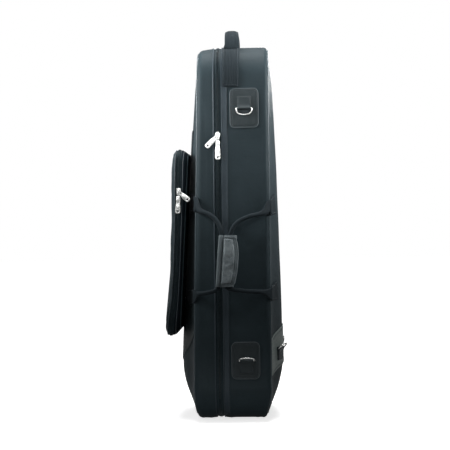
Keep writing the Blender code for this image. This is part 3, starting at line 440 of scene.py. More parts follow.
def finished(tree, shader, colour, rough, bumps, values):
    """Join a material's colour ramp, its roughness and a chain of bumps to its shader."""
    feed(tree, shader, {"Base Color": ramp(tree, *colour), "Roughness": span(tree, *rough), **values})
    chain = {}
    for height, distance, strength in bumps:
        node = new_node(tree, "Bump", {"Distance": distance, "Strength": strength, "Height": height, **chain})
        chain = {"Normal": node.outputs["Normal"]}
    feed(tree, shader, chain)


def cloth_material(name, dark, light, rough, pitch, weave, sheen=0.05, gloss=0.07):
    """Woven fabric: threads, slight fading and soft unevenness."""
    made, tree, shader, place = nodes_of(name)
    rows = threads(tree, place, pitch)
    cloud, fine = noise(tree, place, 9.0, 5.0, 0.55), noise(tree, place, 420.0, 3.0, 0.6)
    mixed = maths(tree, "MULTIPLY_ADD", fine, 0.45, cloud)
    mixed = maths(tree, "MULTIPLY_ADD", rows, 0.08, mixed)
    mixed = maths(tree, "SUBTRACT", mixed, 0.27)
    finished(tree, shader, (mixed, ((0.15, dark), (0.85, light))), (fine, rough - 0.07, rough + 0.09),
             ((cloud, 0.0096, 0.35), (fine, 0.0004, 0.25), (rows, pitch * 0.35, weave)),
             {"Specular IOR Level": gloss, "Sheen Weight": sheen, "Sheen Roughness": 0.4})
    return made


def leather_material(name, dark, light, rough=0.42, gloss=0.22):
    """Grained leather, a little polished where it is high."""
    made, tree, shader, place = nodes_of(name)
    grain = new_node(tree, "TexVoronoi", {"Vector": place, "Scale": 620.0}, feature="DISTANCE_TO_EDGE")
    pebble = ramp(tree, grain.outputs["Distance"], ((0.0, (0, 0, 0)), (0.22, (1, 1, 1))))
    cloud, wear = noise(tree, place, 26.0, 6.0, 0.6), noise(tree, place, 110.0, 4.0, 0.65)
    mixed = maths(tree, "MULTIPLY_ADD", pebble, 0.22, cloud)
    mixed = maths(tree, "MULTIPLY_ADD", wear, 0.35, mixed)
    mixed = maths(tree, "SUBTRACT", mixed, 0.30)
    finished(tree, shader, (mixed, ((0.2, dark), (0.85, light))), (wear, rough - 0.1, rough + 0.14),
             ((cloud, 0.004, 0.2), (pebble, 0.00025, 0.55)), {"Specular IOR Level": gloss})
    return made


def metal_material(name, low, tint, rough):
    """Bright plate with faint handling marks."""
    made, tree, shader, place = nodes_of(name)
    marks, cloud = noise(tree, place, 900.0, 4.0, 0.6), noise(tree, place, 160.0, 3.0)
    finished(tree, shader, (cloud, ((0.3, low), (0.6, tint))), (marks, rough - 0.08, rough + 0.1),
             ((marks, 0.0001, 0.12),), {"Metallic": 1.0})
    return made


def plush_material(name, dark, light):
    """Deep short pile that catches light at its edges."""
    made, tree, shader, place = nodes_of(name)
    pile, swirl = noise(tree, place, 1100.0, 4.0, 0.7), noise(tree, place, 34.0, 5.0, 0.6, 1.2)
    mixed = maths(tree, "MULTIPLY_ADD", pile, 0.6, swirl)
    mixed = maths(tree, "SUBTRACT", mixed, 0.3)
    finished(tree, shader, (mixed, ((0.2, dark), (0.8, light))), (pile, 0.85, 1.0),
             ((swirl, 0.004, 0.4), (pile, 0.0012, 0.8)),
             {"Sheen Weight": 0.7, "Sheen Roughness": 0.35})
    return made


def finishes():
    """Each finish: its slot, its kind, its name, dark and light colours in ten-thousandths, and more."""
    cloth, leather = cloth_material, leather_material
    rows = (
        ("nylon", "nylon", cloth, "nylon_cloth",
         (134, 206, 240), (221, 320, 370), 0.50, 0.0011, 0.15, 0.02, 0.045),
        # Painted shade: the pouch's rear cloth is near black to stand for the deep shade between the pouch and
        # the lid's face.
        ("shade", "nylon", cloth, "pouch_back_nylon",
         (35, 55, 75), (70, 100, 130), 0.60, 0.0011, 0.15, 0.0, 0.02),
        ("trim", "trim", cloth, "trim_binding", (200, 280, 340), (330, 440, 520), 0.46, 0.0008, 0.2),
        # Painted highlight: the piping is about twice as light as the nylon so its edges read as bright lines;
        # its gloss adds real highlights too.
        ("piping", "trim", cloth, "piping_cloth",
         (250, 360, 420), (470, 640, 730), 0.34, 0.0008, 0.15, 0.05, 0.25),
        ("webbing", "webbing", cloth, "webbing_cloth",
         (90, 130, 155), (165, 225, 265), 0.60, 0.0014, 0.3, 0.02, 0.04),
        ("tape", "zipper", cloth, "zipper_tape_cloth", (100, 170, 200), (180, 290, 340), 0.6, 0.0009, 0.3),
        ("teeth", "zipper", cloth, "zipper_teeth_plastic",
         (100, 160, 190), (180, 270, 310), 0.35, 0.0009, 0.05),
        ("thread", "trim", cloth, "sewing_thread", (240, 320, 380), (480, 600, 680), 0.5, 0.0006, 0.3),
        ("leather", "leather", leather, "dark_leather", (110, 165, 185), (235, 310, 340), 0.42, 0.14),
        ("metal", "metal", metal_material, "nickel_plate", (3956, 4042, 3956), (4600, 4700, 4600), 0.26),
        ("plush", "plush", plush_material, "plush_lining", (180, 200, 240), (500, 540, 620)),
        ("foam", "core", cloth, "foam_shell", (400, 420, 450), (750, 780, 820), 0.85, 0.0022, 0.3),
        # Painted highlight: the pouch's piping and seam cord are made light to stand for the thin bright lines
        # along them.
        ("piping_light", "trim", cloth, "pouch_piping_cloth",
         (240, 320, 370), (420, 530, 600), 0.42, 0.0008, 0.2, 0.05, 0.2),
        ("edging", "trim", cloth, "light_thread", (400, 500, 550), (800, 940, 1020), 0.5, 0.0006, 0.3),
        # Painted sheen: the back band's leather is several times lighter than the other leather, standing for
        # the sheen it shows at a grazing view.
        ("band", "leather", leather, "band_leather", (750, 950, 900), (1280, 1580, 1500), 0.42, 0.3),
        ("grip", "leather", leather, "grip_leather", (520, 660, 720), (1900, 2200, 2320)),
        ("grip_dark", "leather", leather, "grip_edge_leather", (520, 660, 720), (920, 1130, 1210), 0.46),
    )
    return {key: (slot, make(name, tenths(*dark), tenths(*light), *more))
            for key, slot, make, name, dark, light, *more in rows}


FINISHES = finishes()
def dress(made, body, kind, *nodes, fill=None, blend=None):
    """Give a piece its finish, the CAD nodes that it stands for, and its body; with a blend it is only baked in
    place, on no body.
    """
    slot, material = FINISHES[kind]
    made.data.materials.append(material)
    if blend is None:
        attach(made, body)
    if nodes:
        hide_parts(*nodes)
    if blend is not None:
        start, end = (tuple(CASE + spot) for spot in blend)
        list(body)
        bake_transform(made)
        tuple(start)
        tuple(end)
    return made


def piece(name, made, body, kind, *nodes, **more):
    return dress(new_object(name, *made), body, kind, *nodes, **more)


# Walls, faces and piping

EDGE_ROLL_IN = 0.009
EDGE_GAP = 0.0025
ROLLS = {"base": (0.012, 0.011), "lid": (0.0165, 0.014)}
ARCH_DROP = {"base": 0.0, "lid": 0.0062}
BOTTOM_SAG = 0.0034
NEAR_ARCH = np.clip(EDGE_OUT[:, 1], 0, 1) ** 2
NEAR_FLOOR = np.clip(-EDGE_OUT[:, 1], 0, 1) ** 3


def roll_of(half):
    """How far back from the piping the wall starts to round over, along the outline."""
    low, high = ROLLS[half.name]
    return low + (high - low) * height_share(EDGE[:, 1])


def wall_row(half, share, degrees=0.0, lift=0.0):
    """A row round the wall, at a share of its straight part or an angle of its rounded edge."""
    angle, start = math.radians(degrees), TAPE_WIDTH + GAP
    depth, roll = half.depth(EDGE[:, 1]), roll_of(half)
    distance = start + (depth - roll - start) * share + roll * math.sin(angle) * (share >= 1)
    inset = EDGE_ROLL_IN * (1 - math.cos(angle))
    inset = inset + arch_drop(half) * np.clip(distance / depth, 0, 1) ** 1.2
    inset = inset - BOTTOM_SAG * NEAR_FLOOR * np.clip(distance / 0.025, 0, 1)
    return loop_at(half, distance + lift * math.sin(angle), lift * math.cos(angle) - inset)


def arch_drop(half):
    return ARCH_DROP[half.name] * NEAR_ARCH


def loop_at(half, distance, outset):
    """The outline as points, at a distance from the zipper's plane."""
    spots = EDGE + EDGE_OUT * (np.zeros(AROUND) + outset)[:, None]
    return np.column_stack((np.full(AROUND, 1.0) * half.side * distance, spots))


def edge_inset(half):
    """Face outline at the inside of the piping."""
    return EDGE - EDGE_OUT * (EDGE_ROLL_IN + arch_drop(half) + EDGE_GAP)[:, None]


def side_cover(half, name, node, seed):
    """The fabric band round the side walls, with soft dents, rolled over at its edge."""
    rows = []
    for share in np.concatenate(([0.0, 0.012], np.linspace(0.04, 1.0, 15))):
        points = wall_row(half, share)
        sink = 0.5 + 0.5 * wave_noise(points, ((0.34, 1.0), (0.13, 0.5)), seed)
        tuck = 0.0012 * max(0.0, 1 - share / 0.03)
        rows.append(wall_row(half, share, 0.0, -0.0013 * sink * calm_places(points) - tuck))
    for degrees in (12, 24, 36, 48, 60, 70, 78, 84):
        points = wall_row(half, 1.0, degrees)
        pucker = 0.00025 * wave_noise(points, ((0.030, 1.0),), seed + 1) * math.sin(math.radians(degrees))
        rows.append(wall_row(half, 1.0, degrees, pucker))
    rows += [wall_row(half, *place) for place in
             ((1.0, 84, -0.0014), (1.0, 45, -0.0014), (1.0, 0, -0.0015), (0.5, 0, -0.0027), (0.0, 0, -0.0027))]
    piece(name, sweep(rows, closed=True), half.name, "nylon", node, fill=0.9)


def calm_places(points):
    """How far the wall may dent: little under what is sewn on it."""
    x, y, z = points.T
    keep = np.ones(len(points))
    for patch_up in (0.7805, 0.1520):
        keep[(y < 0) & (np.abs(z - patch_up) < 0.075) & (x > 0.015) & (x < 0.115)] = 0.0
    keep[np.abs(x) < 0.03] = 0.25
    keep[z > 0.80] *= 0.3
    return keep


def face_puff(across, up):
    """Fullness of the padding just inside the piping."""
    share = np.clip((sampled(EDGE_GRID, across, up) - EDGE_ROLL_IN - EDGE_GAP) / 0.016, 0, 1)
    return 0.0020 * (1 - (1 - share) ** 2.2)


def face_points(half, ring, lift=0.0):
    """Points of a ring on a face, with the fullness of its padding."""
    points = half.point(*ring.T, lift)
    points[:, 0] += half.side * face_puff(*ring.T)
    return points


FACE_SHARES = np.concatenate((np.linspace(1.0, 0.955, 6), np.linspace(0.93, 0.03, 27)))


def padded_face(half, name, node, seed):
    """The padded fabric face inside the piping, a closed sheet."""
    spots = edge_inset(half)
    outer = []
    for share in FACE_SHARES:
        points = face_points(half, toward_spine(spots, share))
        rough = wave_noise(points, ((0.24, 1.0), (0.085, 0.5)), seed)
        pucker = wave_noise(points, ((0.026, 1.0),), seed + 5) * max(0.0, 1 - (1 - share) / 0.06) * 0.0004
        fade = min(1.0, (1 - share) / 0.10)
        points[:, 0] -= half.side * (0.0012 * (0.5 + 0.5 * rough) * fade - pucker)
        outer.append(points)
    inner = [face_points(half, toward_spine(spots, share), -0.0026) for share in (1.0, 0.93, 0.6, 0.3, 0.03)]
    piece(name, sheet(outer[::-1] + inner), half.name, "nylon", node, fill=0.85)


def piping_tube(half, name, node):
    """The corded seam round a face."""
    rows = [loop_at(half, half.depth(EDGE[:, 1]) + 0.0006 + along, out - EDGE_ROLL_IN - arch_drop(half))
            for along, out in oval(12, PIPING_RADIUS, PIPING_RADIUS)]
    piece(name, sweep(rows, closed=True), half.name, "piping", node)


# Foam shells and linings

RIM = 0.002


def inside_rows(half, inset, waver=0.0):
    """Rows of the tray's inside, from the rim to the middle of the face."""
    depth = half.depth(EDGE[:, 1]) - inset
    rows = [loop_at(half, RIM + (depth - RIM) * share, -inset) for share in (0.0, 0.03, 0.25, 0.5, 0.75, 0.94)]
    for share in np.concatenate(([1.0, 0.985, 0.96], np.linspace(0.92, 0.04, 12))):
        ring = toward_spine(EDGE - EDGE_OUT * inset, share)
        points = half.point(ring[:, 0], ring[:, 1], -inset - 0.0022)
        points[:, 0] -= half.side * waver * (0.5 + 0.5 * wave_noise(points, ((0.11, 1.0), (0.04, 0.4)), 31))
        rows.append(points)
    return rows


def make_core(half):
    """The foam shell of a half, an open tray."""
    spots = edge_inset(half)
    rows = [face_points(half, toward_spine(spots, share), -0.0032)
            for share in (0.04, 0.3, 0.6, 0.85, 0.95, 1.0)]
    rows += [wall_row(half, 1.0, degrees, -0.0021) for degrees in (80, 60, 40, 20, 0)]
    rows += [wall_row(half, 0.5, 0.0, -0.0032), wall_row(half, 0.06, 0.0, -0.0034),
             loop_at(half, RIM + 0.0010, -0.0034), loop_at(half, RIM + 0.0002, -0.0042),
             loop_at(half, RIM + 0.0002, -0.0088)] + inside_rows(half, 0.0095)[1:]
    piece(half.name + "_foam_shell", sheet(rows), half.name, "foam", half.name + "_core", fill=1.0)


def make_lining(half):
    """The plush lining of a half, and the binding over its rim."""
    outer, inner = inside_rows(half, 0.0099)[::-1], inside_rows(half, 0.0120, 0.0012)
    for row in (outer[-1], inner[0]):
        row[:, 0] = half.side * (RIM + 0.0003)
    piece(half.name + "_plush_lining", sheet(outer + inner), half.name, "plush", half.name + "_liner", fill=0.7)
    profile = tenths((21, -86), (21, -128), (130, -128), (134, -121), (26, -119), (26, -92))
    band_round(half, half.name + "_rim_binding", profile, "webbing")


# Zipper: tapes, teeth and the sewn band beside it

def band_round(half, name, profile, kind, *nodes):
    """A closed band round the case from (distance, outset) points."""
    piece(name, sweep([loop_at(half, *spot) for spot in profile], closed=True), half.name, kind, *nodes)


def even_route(spots, ways, pitch, shift=0.0):
    """Points, outward and forward directions at even spacing along a closed outline."""
    around = np.vstack((spots, spots[:1]))
    length = run_along(around)
    count = int(length[-1] / pitch)
    at = (np.arange(count) + shift) * length[-1] / count
    index = np.clip(np.searchsorted(length, at, side="right") - 1, 0, len(spots) - 1)
    share = ((at - length[index]) / np.diff(length)[index])[:, None]
    after = (index + 1) % len(spots)
    place = spots[index] * (1 - share) + spots[after] * share
    out = unit(ways[index] * (1 - share) + ways[after] * share)
    return place, out, unit(spots[after] - spots[index])


TOOTH = np.array(((-0.5, -0.5, 0), (0.5, -0.5, 0), (0.5, 0.5, 0), (-0.5, 0.5, 0),
                  (-0.42, -0.22, 1), (0.42, -0.22, 1), (0.42, 0.22, 1), (-0.42, 0.22, 1)))
TOOTH_FACES = ((0, 1, 2, 3), (4, 5, 6, 7), (0, 1, 5, 4), (1, 2, 6, 5), (2, 3, 7, 6), (3, 0, 4, 7))
STITCH = (0.00075, 0.0004)


def blocks(centres, longs, sides, outs, length, width, height):
    """Small raised blocks, each along its own direction: teeth, ribs and stitches."""
    ways = np.stack((np.asarray(longs) * length, np.asarray(sides) * width, np.asarray(outs) * height), 1)
    points = np.asarray(centres)[:, None] + TOOTH @ ways
    faces = [tuple(8 * n + k for k in face) for n in range(len(points)) for face in TOOTH_FACES]
    return points.reshape(-1, 3), faces


def row_round(half, name, kind, distance, outset, pitch, size, crosswise=False, shift=0.0):
    """A row of teeth, which lie crosswise, or of stitches round a half's wall."""
    place, out, along = even_route(EDGE + EDGE_OUT * outset, EDGE_OUT, pitch, shift)
    centres, outs, along = (np.insert(rows, 0, first, axis=1)
                            for rows, first in ((place, half.side * distance), (out, 0.0), (along, 0.0)))
    across = np.tile((1.0, 0.0, 0.0), (len(out), 1))
    ways = (across, along) if crosswise else (along, across)
    piece(name, blocks(centres, *ways, outs, *size), half.name, kind)


def stitches_round(half, name, distance, outset):
    row_round(half, name, "thread", distance, outset, 0.0042, (0.0029, 0.0007, 0.00032))


def make_shell():
    for half, seed in ((BASE, 4), (LID, 2)):
        side_cover(half, half.name + "_side_cloth", half.name + "_gusset", seed)
    padded_face(BASE, "back_face_cloth", "back_panel", 11)
    padded_face(LID, "front_face_cloth", "front_panel", 12)
    for half in (BASE, LID):
        piping_tube(half, half.name + "_piping_cord", half.name + "_piping")
    for half in (BASE, LID):
        profile = tenths((2, -24), (2, -8), (34, -7), (42, -10), (62, -12), (78, -21), (88, -22), (92, -14),
                         (94, -14), (94, -30), (60, -28))
        band_round(half, half.name + "_zipper_cloth", profile, "tape", half.name + "_zipper_tape")
        row_round(half, half.name + "_zipper_teeth", "teeth", 0.0017, -0.0006, 0.0026,
                  (0.0031, 0.0017, 0.0010), crosswise=True, shift=0.0 if half is BASE else 0.5)
        stitches_round(half, half.name + "_tape_stitches", 0.0056, -0.0012)
        make_core(half)
        make_lining(half)
    profile = tenths((89, -13), (87, 6), (93, 17), (102, 19), (110, 13), (119, 9), (149, 10), (183, 10),
                     (213, 9), (222, 13), (231, 16), (240, 11), (243, 3), (243, -13))
    band_round(BASE, "base_trim_cloth", profile, "trim", "base_trim_band")
    stitches_round(BASE, "trim_stitches_inner", 0.0123, 0.0009)
    stitches_round(BASE, "trim_stitches_outer", 0.0209, 0.0009)
    profile = tenths((89, -13), (87, 4), (95, 12), (105, 12), (115, 6), (123, -1), (123, -13))
    band_round(LID, "lid_edge_welt", profile, "trim")
    stitches_round(LID, "lid_welt_stitches", 0.0148, -0.0006)


# Pieces laid on the walls and faces

WALL_UP = np.array((0.0, math.sin(LEAN), math.cos(LEAN)))
WALL_OUT = np.array((0.0, -math.cos(LEAN), math.sin(LEAN)))
WALL_FRAME = (np.array((0.0, -WALL_FOOT, 0.0)), np.array((1.0, 0.0, 0.0)), WALL_UP, WALL_OUT)


def placed(points, place):
    """Points (across, up, out) of a frame as points of the case."""
    origin, across, up, out = place
    points = np.asarray(points, float)
    return origin + points[..., 0:1] * across + points[..., 1:2] * up + points[..., 2:3] * out


def up_wall(height):
    return height / math.cos(LEAN)


def rounded_box(width, length, radius, middle, steps=8):
    """A function of inset that gives a rounded rectangle's outline and its outward directions."""
    centres, ways = [], []
    for n, (a, b) in enumerate(((1, 1), (-1, 1), (-1, -1), (1, -1))):
        centre = (middle[0] + a * (width / 2 - radius), middle[1] + b * (length / 2 - radius))
        centres += [centre] * (steps + 1)
        ways += list(arc(math.pi / 2 * (n + np.arange(steps + 1) / steps)))
    centres, ways = np.array(centres), np.array(ways)
    return lambda inset: (centres + ways * max(radius - inset, 0.0002), ways)


def any_outline(corners, steps):
    """A function of inset for a smooth closed outline through points, listed to the left."""
    line = smooth_line(np.vstack((corners, corners[:3])), steps)[steps:-2 * steps]
    return inset_of(line)


def inset_of(line):
    """A function of inset for a closed line that turns to the left."""
    ways = outward(line)
    return lambda inset: (line - ways * inset, ways)


def plate(outline, profile, surface, shrink):
    """A closed plate: rows at (inset, height) of an outline, then drawn in to its middle."""
    rows = [surface(outline(inset)[0], height) for inset, height in profile]
    spots = outline(profile[-1][0])[0]
    middle = spots.mean(0)
    return sweep(rows + [surface(middle + (spots - middle) * share, height) for share, height in shrink])


def over(frame):
    """A surface above a frame's plane, as a function of spots and height."""
    return lambda spots, height: placed(np.column_stack((spots, np.zeros(len(spots)) + height)), frame)


on_wall = over(WALL_FRAME)


def on_face(half):
    """A surface above a half's padded face, as a function of spots and height."""
    def surface(spots, height):
        points = half.point(*spots.T)
        points[:, 0] += half.side * (face_puff(*spots.T) + height)
        return points
    return surface


def stitches_on(outline, inset, surface, height, pitch=0.0040, length=0.0027):
    """Rows of stitches round an outline."""
    place, out, along = even_route(*outline(inset), pitch)
    here = surface(place, height)
    ahead, beside = (unit(surface(place + way * 0.0005, height) - here) for way in (along, out))
    up = unit(np.cross(ahead, beside))
    above = surface(place, height + 0.001) - here
    up = up * np.sign((up * above).sum(1, keepdims=True))
    return blocks(here, ahead, beside, up, length, *STITCH)


def strap(route, sides, outs, left, right, thick, ribs, rib, edge, count, bow):
    """A woven strap: rounded edges and fine ribs along its length, bowed down at its edges."""
    u = np.concatenate(([0.0, 0.006, 0.02, 0.04], np.linspace(0.07, 0.93, count), [0.96, 0.98, 0.994, 1.0]))
    fall = 1 - np.sqrt(np.clip(1 - np.clip((0.04 - np.minimum(u, 1 - u)) / 0.04, 0, 1) ** 2, 0, 1))
    ripple = np.where((u > 0.06) & (u < 0.94), np.cos(2 * math.pi * ribs * (u - 0.07) / 0.86), 1.0)
    rows = []
    for place, side, out, a, b, t, low_edge in zip(route, sides, outs, left, right, thick, bow):
        low = np.minimum(edge, t * 0.45) * fall
        line = place + side * (a + (b - a) * u)[:, None] - out * (low_edge * np.abs(2 * u - 1) ** 3)[:, None]
        top, under = (line + out * height[:, None] for height in (t - low + rib * (ripple - 1), low))
        rows.append(np.vstack((top, under[::-1])))
    return sweep(rows)


def tube(route, radius, sides, flat):
    """A round rod along a closed route of points, its first side towards flat."""
    rows, normal = [], flat
    for place, way in zip(route, unit(np.roll(route, -1, axis=0) - np.roll(route, 1, axis=0))):
        normal = unit(normal - way * (normal @ way))
        rows.append(place + oval(sides, radius, radius) @ np.array((normal, np.cross(way, normal))))
    return sweep(rows, closed=True)


def run_of_stitches(path, outs):
    """Stitches at even spacing along an open path on a surface."""
    path, outs = np.asarray(path, float), np.asarray(outs, float)
    pitch, length, near = 0.0040, 0.0027, 0.0004
    far = run_along(path)
    at = np.arange(pitch / 2, far[-1] - pitch / 4, pitch)
    up = unit(at_run(at, far, outs))
    along = unit(at_run(at + near, far, path) - at_run(at - near, far, path))
    return blocks(at_run(at, far, path), along, np.cross(up, along), up, length, *STITCH)


def turned(frame, place=(0.0, 0.0, 0.0), turn=0.0, lift=0.0, flip=False):
    """A frame inside another: moved, turned about its outward axis, then lifted about its bar."""
    _, across, up, out = frame
    if flip:
        across, up = -across, -up
    across, up = (math.cos(turn) * across + math.sin(turn) * up,
                  -math.sin(turn) * across + math.cos(turn) * up)
    up, out = (math.cos(lift) * up - math.sin(lift) * out, math.sin(lift) * up + math.cos(lift) * out)
    return placed(place, frame), across, up, out


# Top handle

STRAP_LEFT, STRAP_RIGHT = 0.0125, 0.0545


def strap_route():
    """The strap's under line in the (y, z) plane from tail to tail, with its outward directions."""
    low, tail = 0.0016, 0.835
    lean, centre = arc(math.pi - LEAN), np.array((0.0, ARCH_CENTRE))
    top = centre + (TOP_RADIUS + low) * lean
    foot_of = np.array((-wall_side(tail, low), tail))
    wall = rows_between(foot_of, top, (0.0, 0.04, 0.10, 0.2, 0.4, 0.7))
    first, last = math.pi - LEAN, math.pi / 2 + (math.pi / 2 - LEAN) / 3
    arch = arc(np.linspace(first, last, 20))
    points = np.vstack((wall, centre + (TOP_RADIUS + low) * arch))
    foot = points[-1]
    crest = SHELL_TOP + 0.041 - foot[1]
    loop = arc(math.pi - math.pi / 2 * np.arange(1, 25) / 24)
    points = np.vstack((points, (0.0, foot[1]) + loop * (-foot[0], crest)))
    outs = np.vstack((np.tile(lean, (6, 1)), arch, unit(loop / (-foot[0], crest))))
    shares = np.concatenate((np.zeros(26), loop[:, 1]))
    points, outs = (np.vstack((rows, (rows * (-1, 1))[-2::-1])) for rows in (points, outs))
    return points, outs, np.concatenate((shares, shares[-2::-1]))


def make_top_handle():
    """The web strap over the top, sewn down at both of its tails."""
    spots, ways, shares = strap_route()
    ways = unit(0.25 * np.roll(ways, 1, axis=0) + ways + 0.25 * np.roll(ways, -1, axis=0))
    count, run = len(spots), run_along(spots)
    route, outs = np.insert(spots, 0, 0.0, axis=1), np.insert(ways, 0, 0.0, axis=1)
    lifted = np.clip(shares / 0.25, 0, 1)
    left = STRAP_LEFT + 0.0053 * lifted
    right = STRAP_RIGHT + 0.0003 * lifted - 0.0028 * np.clip(shares, 0, 1) ** 3
    ends, corner = np.minimum(run, run[-1] - run), 0.005
    thick = 0.0026 + 0.0020 * np.clip(ends / 0.05, 0, 1)
    tuck = np.where(ends < corner, corner - np.sqrt(np.clip(corner ** 2 - (corner - ends) ** 2, 0, None)), 0)
    made = strap(route, np.tile((1.0, 0.0, 0.0), (count, 1)), outs, left + tuck, right - tuck, thick,
                 9, 0.0005, 0.0018, 82, 0.0048 * shares ** 4)
    piece("top_strap", made, "base", "webbing", "top_handle")

    def on_strap(rows, x, sink):
        """A path on the strap's top, at one place across it or at one for each row."""
        path = route[rows] + outs[rows] * (thick[rows][:, None] - sink)
        path[:, 0] = x
        return run_of_stitches(path, outs[rows])

    parts = []
    for rows in (np.arange(1, 26), count - 1 - np.arange(1, 26)):
        parts += [on_strap(rows, x, 0.0001) for x in (STRAP_LEFT + 0.0035, STRAP_RIGHT - 0.0035)]
        parts.append(on_strap(rows[[2, 2]], (STRAP_LEFT + 0.004, STRAP_RIGHT - 0.004), 0.0))
    piece("top_strap_stitches", gather(parts), "base", "thread")


# Metal: rings, sliders and pulls

def cut_plate(outlines, thick, bevel, frame, middle=0.0):
    """A plate with holes and rounded edges, laid in a frame."""
    curve = bpy.data.curves.new("outline", "CURVE")
    for key, value in (("dimensions", "2D"), ("fill_mode", "BOTH"), ("extrude", thick / 2 - bevel),
                       ("bevel_depth", bevel), ("bevel_resolution", 2), ("offset", -bevel)):
        setattr(curve, key, value)
    for outline in outlines:
        spline = curve.splines.new("POLY")
        spline.points.add(len(outline) - 1)
        for point, spot in zip(spline.points, outline):
            point.co = (*spot, 0, 1)
        spline.use_cyclic_u = True
    holder = add("outline", curve)
    bpy.context.view_layer.update()
    mesh = bpy.data.meshes.new_from_object(holder)
    bm = bmesh.new()
    bm.from_mesh(mesh)
    bmesh.ops.remove_doubles(bm, verts=bm.verts, dist=0.00002)
    bm.verts.index_update()
    points = np.array([vert.co[:] for vert in bm.verts])
    faces = [tuple(vert.index for vert in face.verts) for face in bm.faces]
    bm.free()
    bpy.data.objects.remove(holder)
    bpy.data.curves.remove(curve)
    bpy.data.meshes.remove(mesh)
    return placed(points + (0.0, 0.0, middle), frame), faces


def mirrored(half):
    """A closed outline from its right half."""
    return np.roll(np.vstack((half, (half * (-1, 1))[::-1])), 1, axis=0)


def softened(corners, passes=2):
    """A closed outline with its corners cut smooth."""
    points = np.asarray(corners, float)
    for _ in range(passes):
        after = np.roll(points, -1, axis=0)
        points = np.stack((0.75 * points + 0.25 * after, 0.25 * points + 0.75 * after), 1).reshape(-1, 2)
    return points


def make_slider(name, frame, sense):
    """A slider: its shield, the hook for its pull and two rails."""
    shield = mirrored(tenths((43, -98), (59, -52), (57, 40), (40, 98))) * (1, sense)
    parts = [cut_plate([softened(shield, 3)], 0.0028, 0.0011, frame, 0.0014)]
    route = smooth_line(tenths((-43, 16), (-45, 48), (-34, 64), (0, 66), (34, 64), (45, 48), (43, 16)), 5)
    wide, tall = oval(12, 0.0017, 0.00062, 0.6, 0.5).T
    parts.append(sweep([placed(np.column_stack((wide, b - wc * tall, c + wb * tall)), frame)
                        for (b, c), (wb, wc) in zip(route, unit(np.gradient(route, axis=0)))]))
    rail = mirrored(tenths((8, -75), (8, 75)))
    parts += [cut_plate([softened(rail + (x, 0.0))], 0.0008, 0.0003, frame, 0.0030) for x in (-0.0036, 0.0036)]
    piece(name.replace("slider", "slider_body"), gather(parts), name, "metal", name)


def make_pull(name, frame, length):
    """A pull hanging from a slider's hook, with a window, a raised panel and a hole."""
    low = 0.0007 - length
    body = [(0.0044, 0.0011), (0.0047, -0.0060), (0.0047, -0.0110), (0.0062, -0.0150),
            (0.0068, low + 0.0075), (0.0060, low + 0.0016), (0.0022, low - 0.0004)]
    moon = arc(np.linspace(0, 2 * math.pi, 20, endpoint=False))
    moon = moon * np.where(moon > 0, (1, 0.45), (1, 1.25)) * 0.0029 + (0.0, low + 0.0068)
    window = softened(mirrored(tenths((30, -8), (30, -92))))
    tab = cut_plate([softened(mirrored(np.array(body)), 3), window, moon], 0.0015, 0.0004, frame)
    panel = softened(mirrored(np.array(((0.0034, -0.0135), (0.0047, low + 0.0120)))))
    panel = cut_plate([panel], 0.0005, 0.0002, frame, 0.00085)
    piece(name.replace("pull", "pull_tab"), gather([tab, panel]), name, "metal", name)


def make_sliders(prefix, frame, meet, lift, turns, length):
    """A zipper's two sliders with their pulls, which meet at a place along its frame."""
    for place, sense, turn in (("upper", 1, turns[0]), ("lower", -1, turns[1])):
        carrier = turned(frame, (0.0, meet + sense * 0.0098, lift))
        make_slider(prefix + place + "_slider", carrier, -sense)
        make_pull(prefix + place + "_pull", turned(carrier, (0.0, 0.0, 0.00435), turn), length)


def make_ring(name, frame):
    """A wire ring, its straight bar in the frame's middle."""
    bow = arc(np.linspace(math.pi, 2 * math.pi, 28))
    bow = np.sign(bow) * np.abs(bow) ** (0.72, 0.85) * (0.020, 0.0165)
    route = softened(np.vstack((bow, tenths((100, 0), (0, 0), (-100, 0)))), 1)
    piece(name + "_wire", tube(over(frame)(route, 0.0), RING_WIRE, 16, frame[3]), name, "metal", name)


def make_loop(name, node, frame, foot):
    """A leather strip folded round a ring's bar, sewn flat behind it."""
    outer, tail = RING_WIRE + GAP + LOOP_THICK, 0.030
    top = 2 * LOOP_THICK - outer
    spots = [(tail, -foot), (tail + 0.0006, 0.0008 - foot), (tail - 0.0006, top + 0.0002),
             (0.016, top + 0.0004), (0.0085, top + 0.0006), (0.0048, 0.0012),
             *(outer * arc(np.radians((62, 90, 118, 146, 172)))),
             (-outer, -foot * 0.55), (-outer * 0.8, -foot), (0.010, -foot)]
    line = softened(spots)
    ways = outward(line)
    rims = ((1.0, 8), (0.985, 3), (0.95, 0), (0.5, -1))
    rows = [placed(np.insert(line - ways * inset * 0.0001, 0, share * 0.017, axis=1), frame)
            for share, inset in [(-s, i) for s, i in rims] + [(0.0, 0)] + list(rims[::-1])]
    piece(name, sweep(rows), "base", "leather", node)
    box = rounded_box(0.028, 0.017, 0.001, (0.0, 0.01875), 2)
    made = stitches_on(box, 0.0, over(frame), top + 0.0003, 0.0034, 0.0023)
    piece(name + "_stitches", made, "base", "thread")


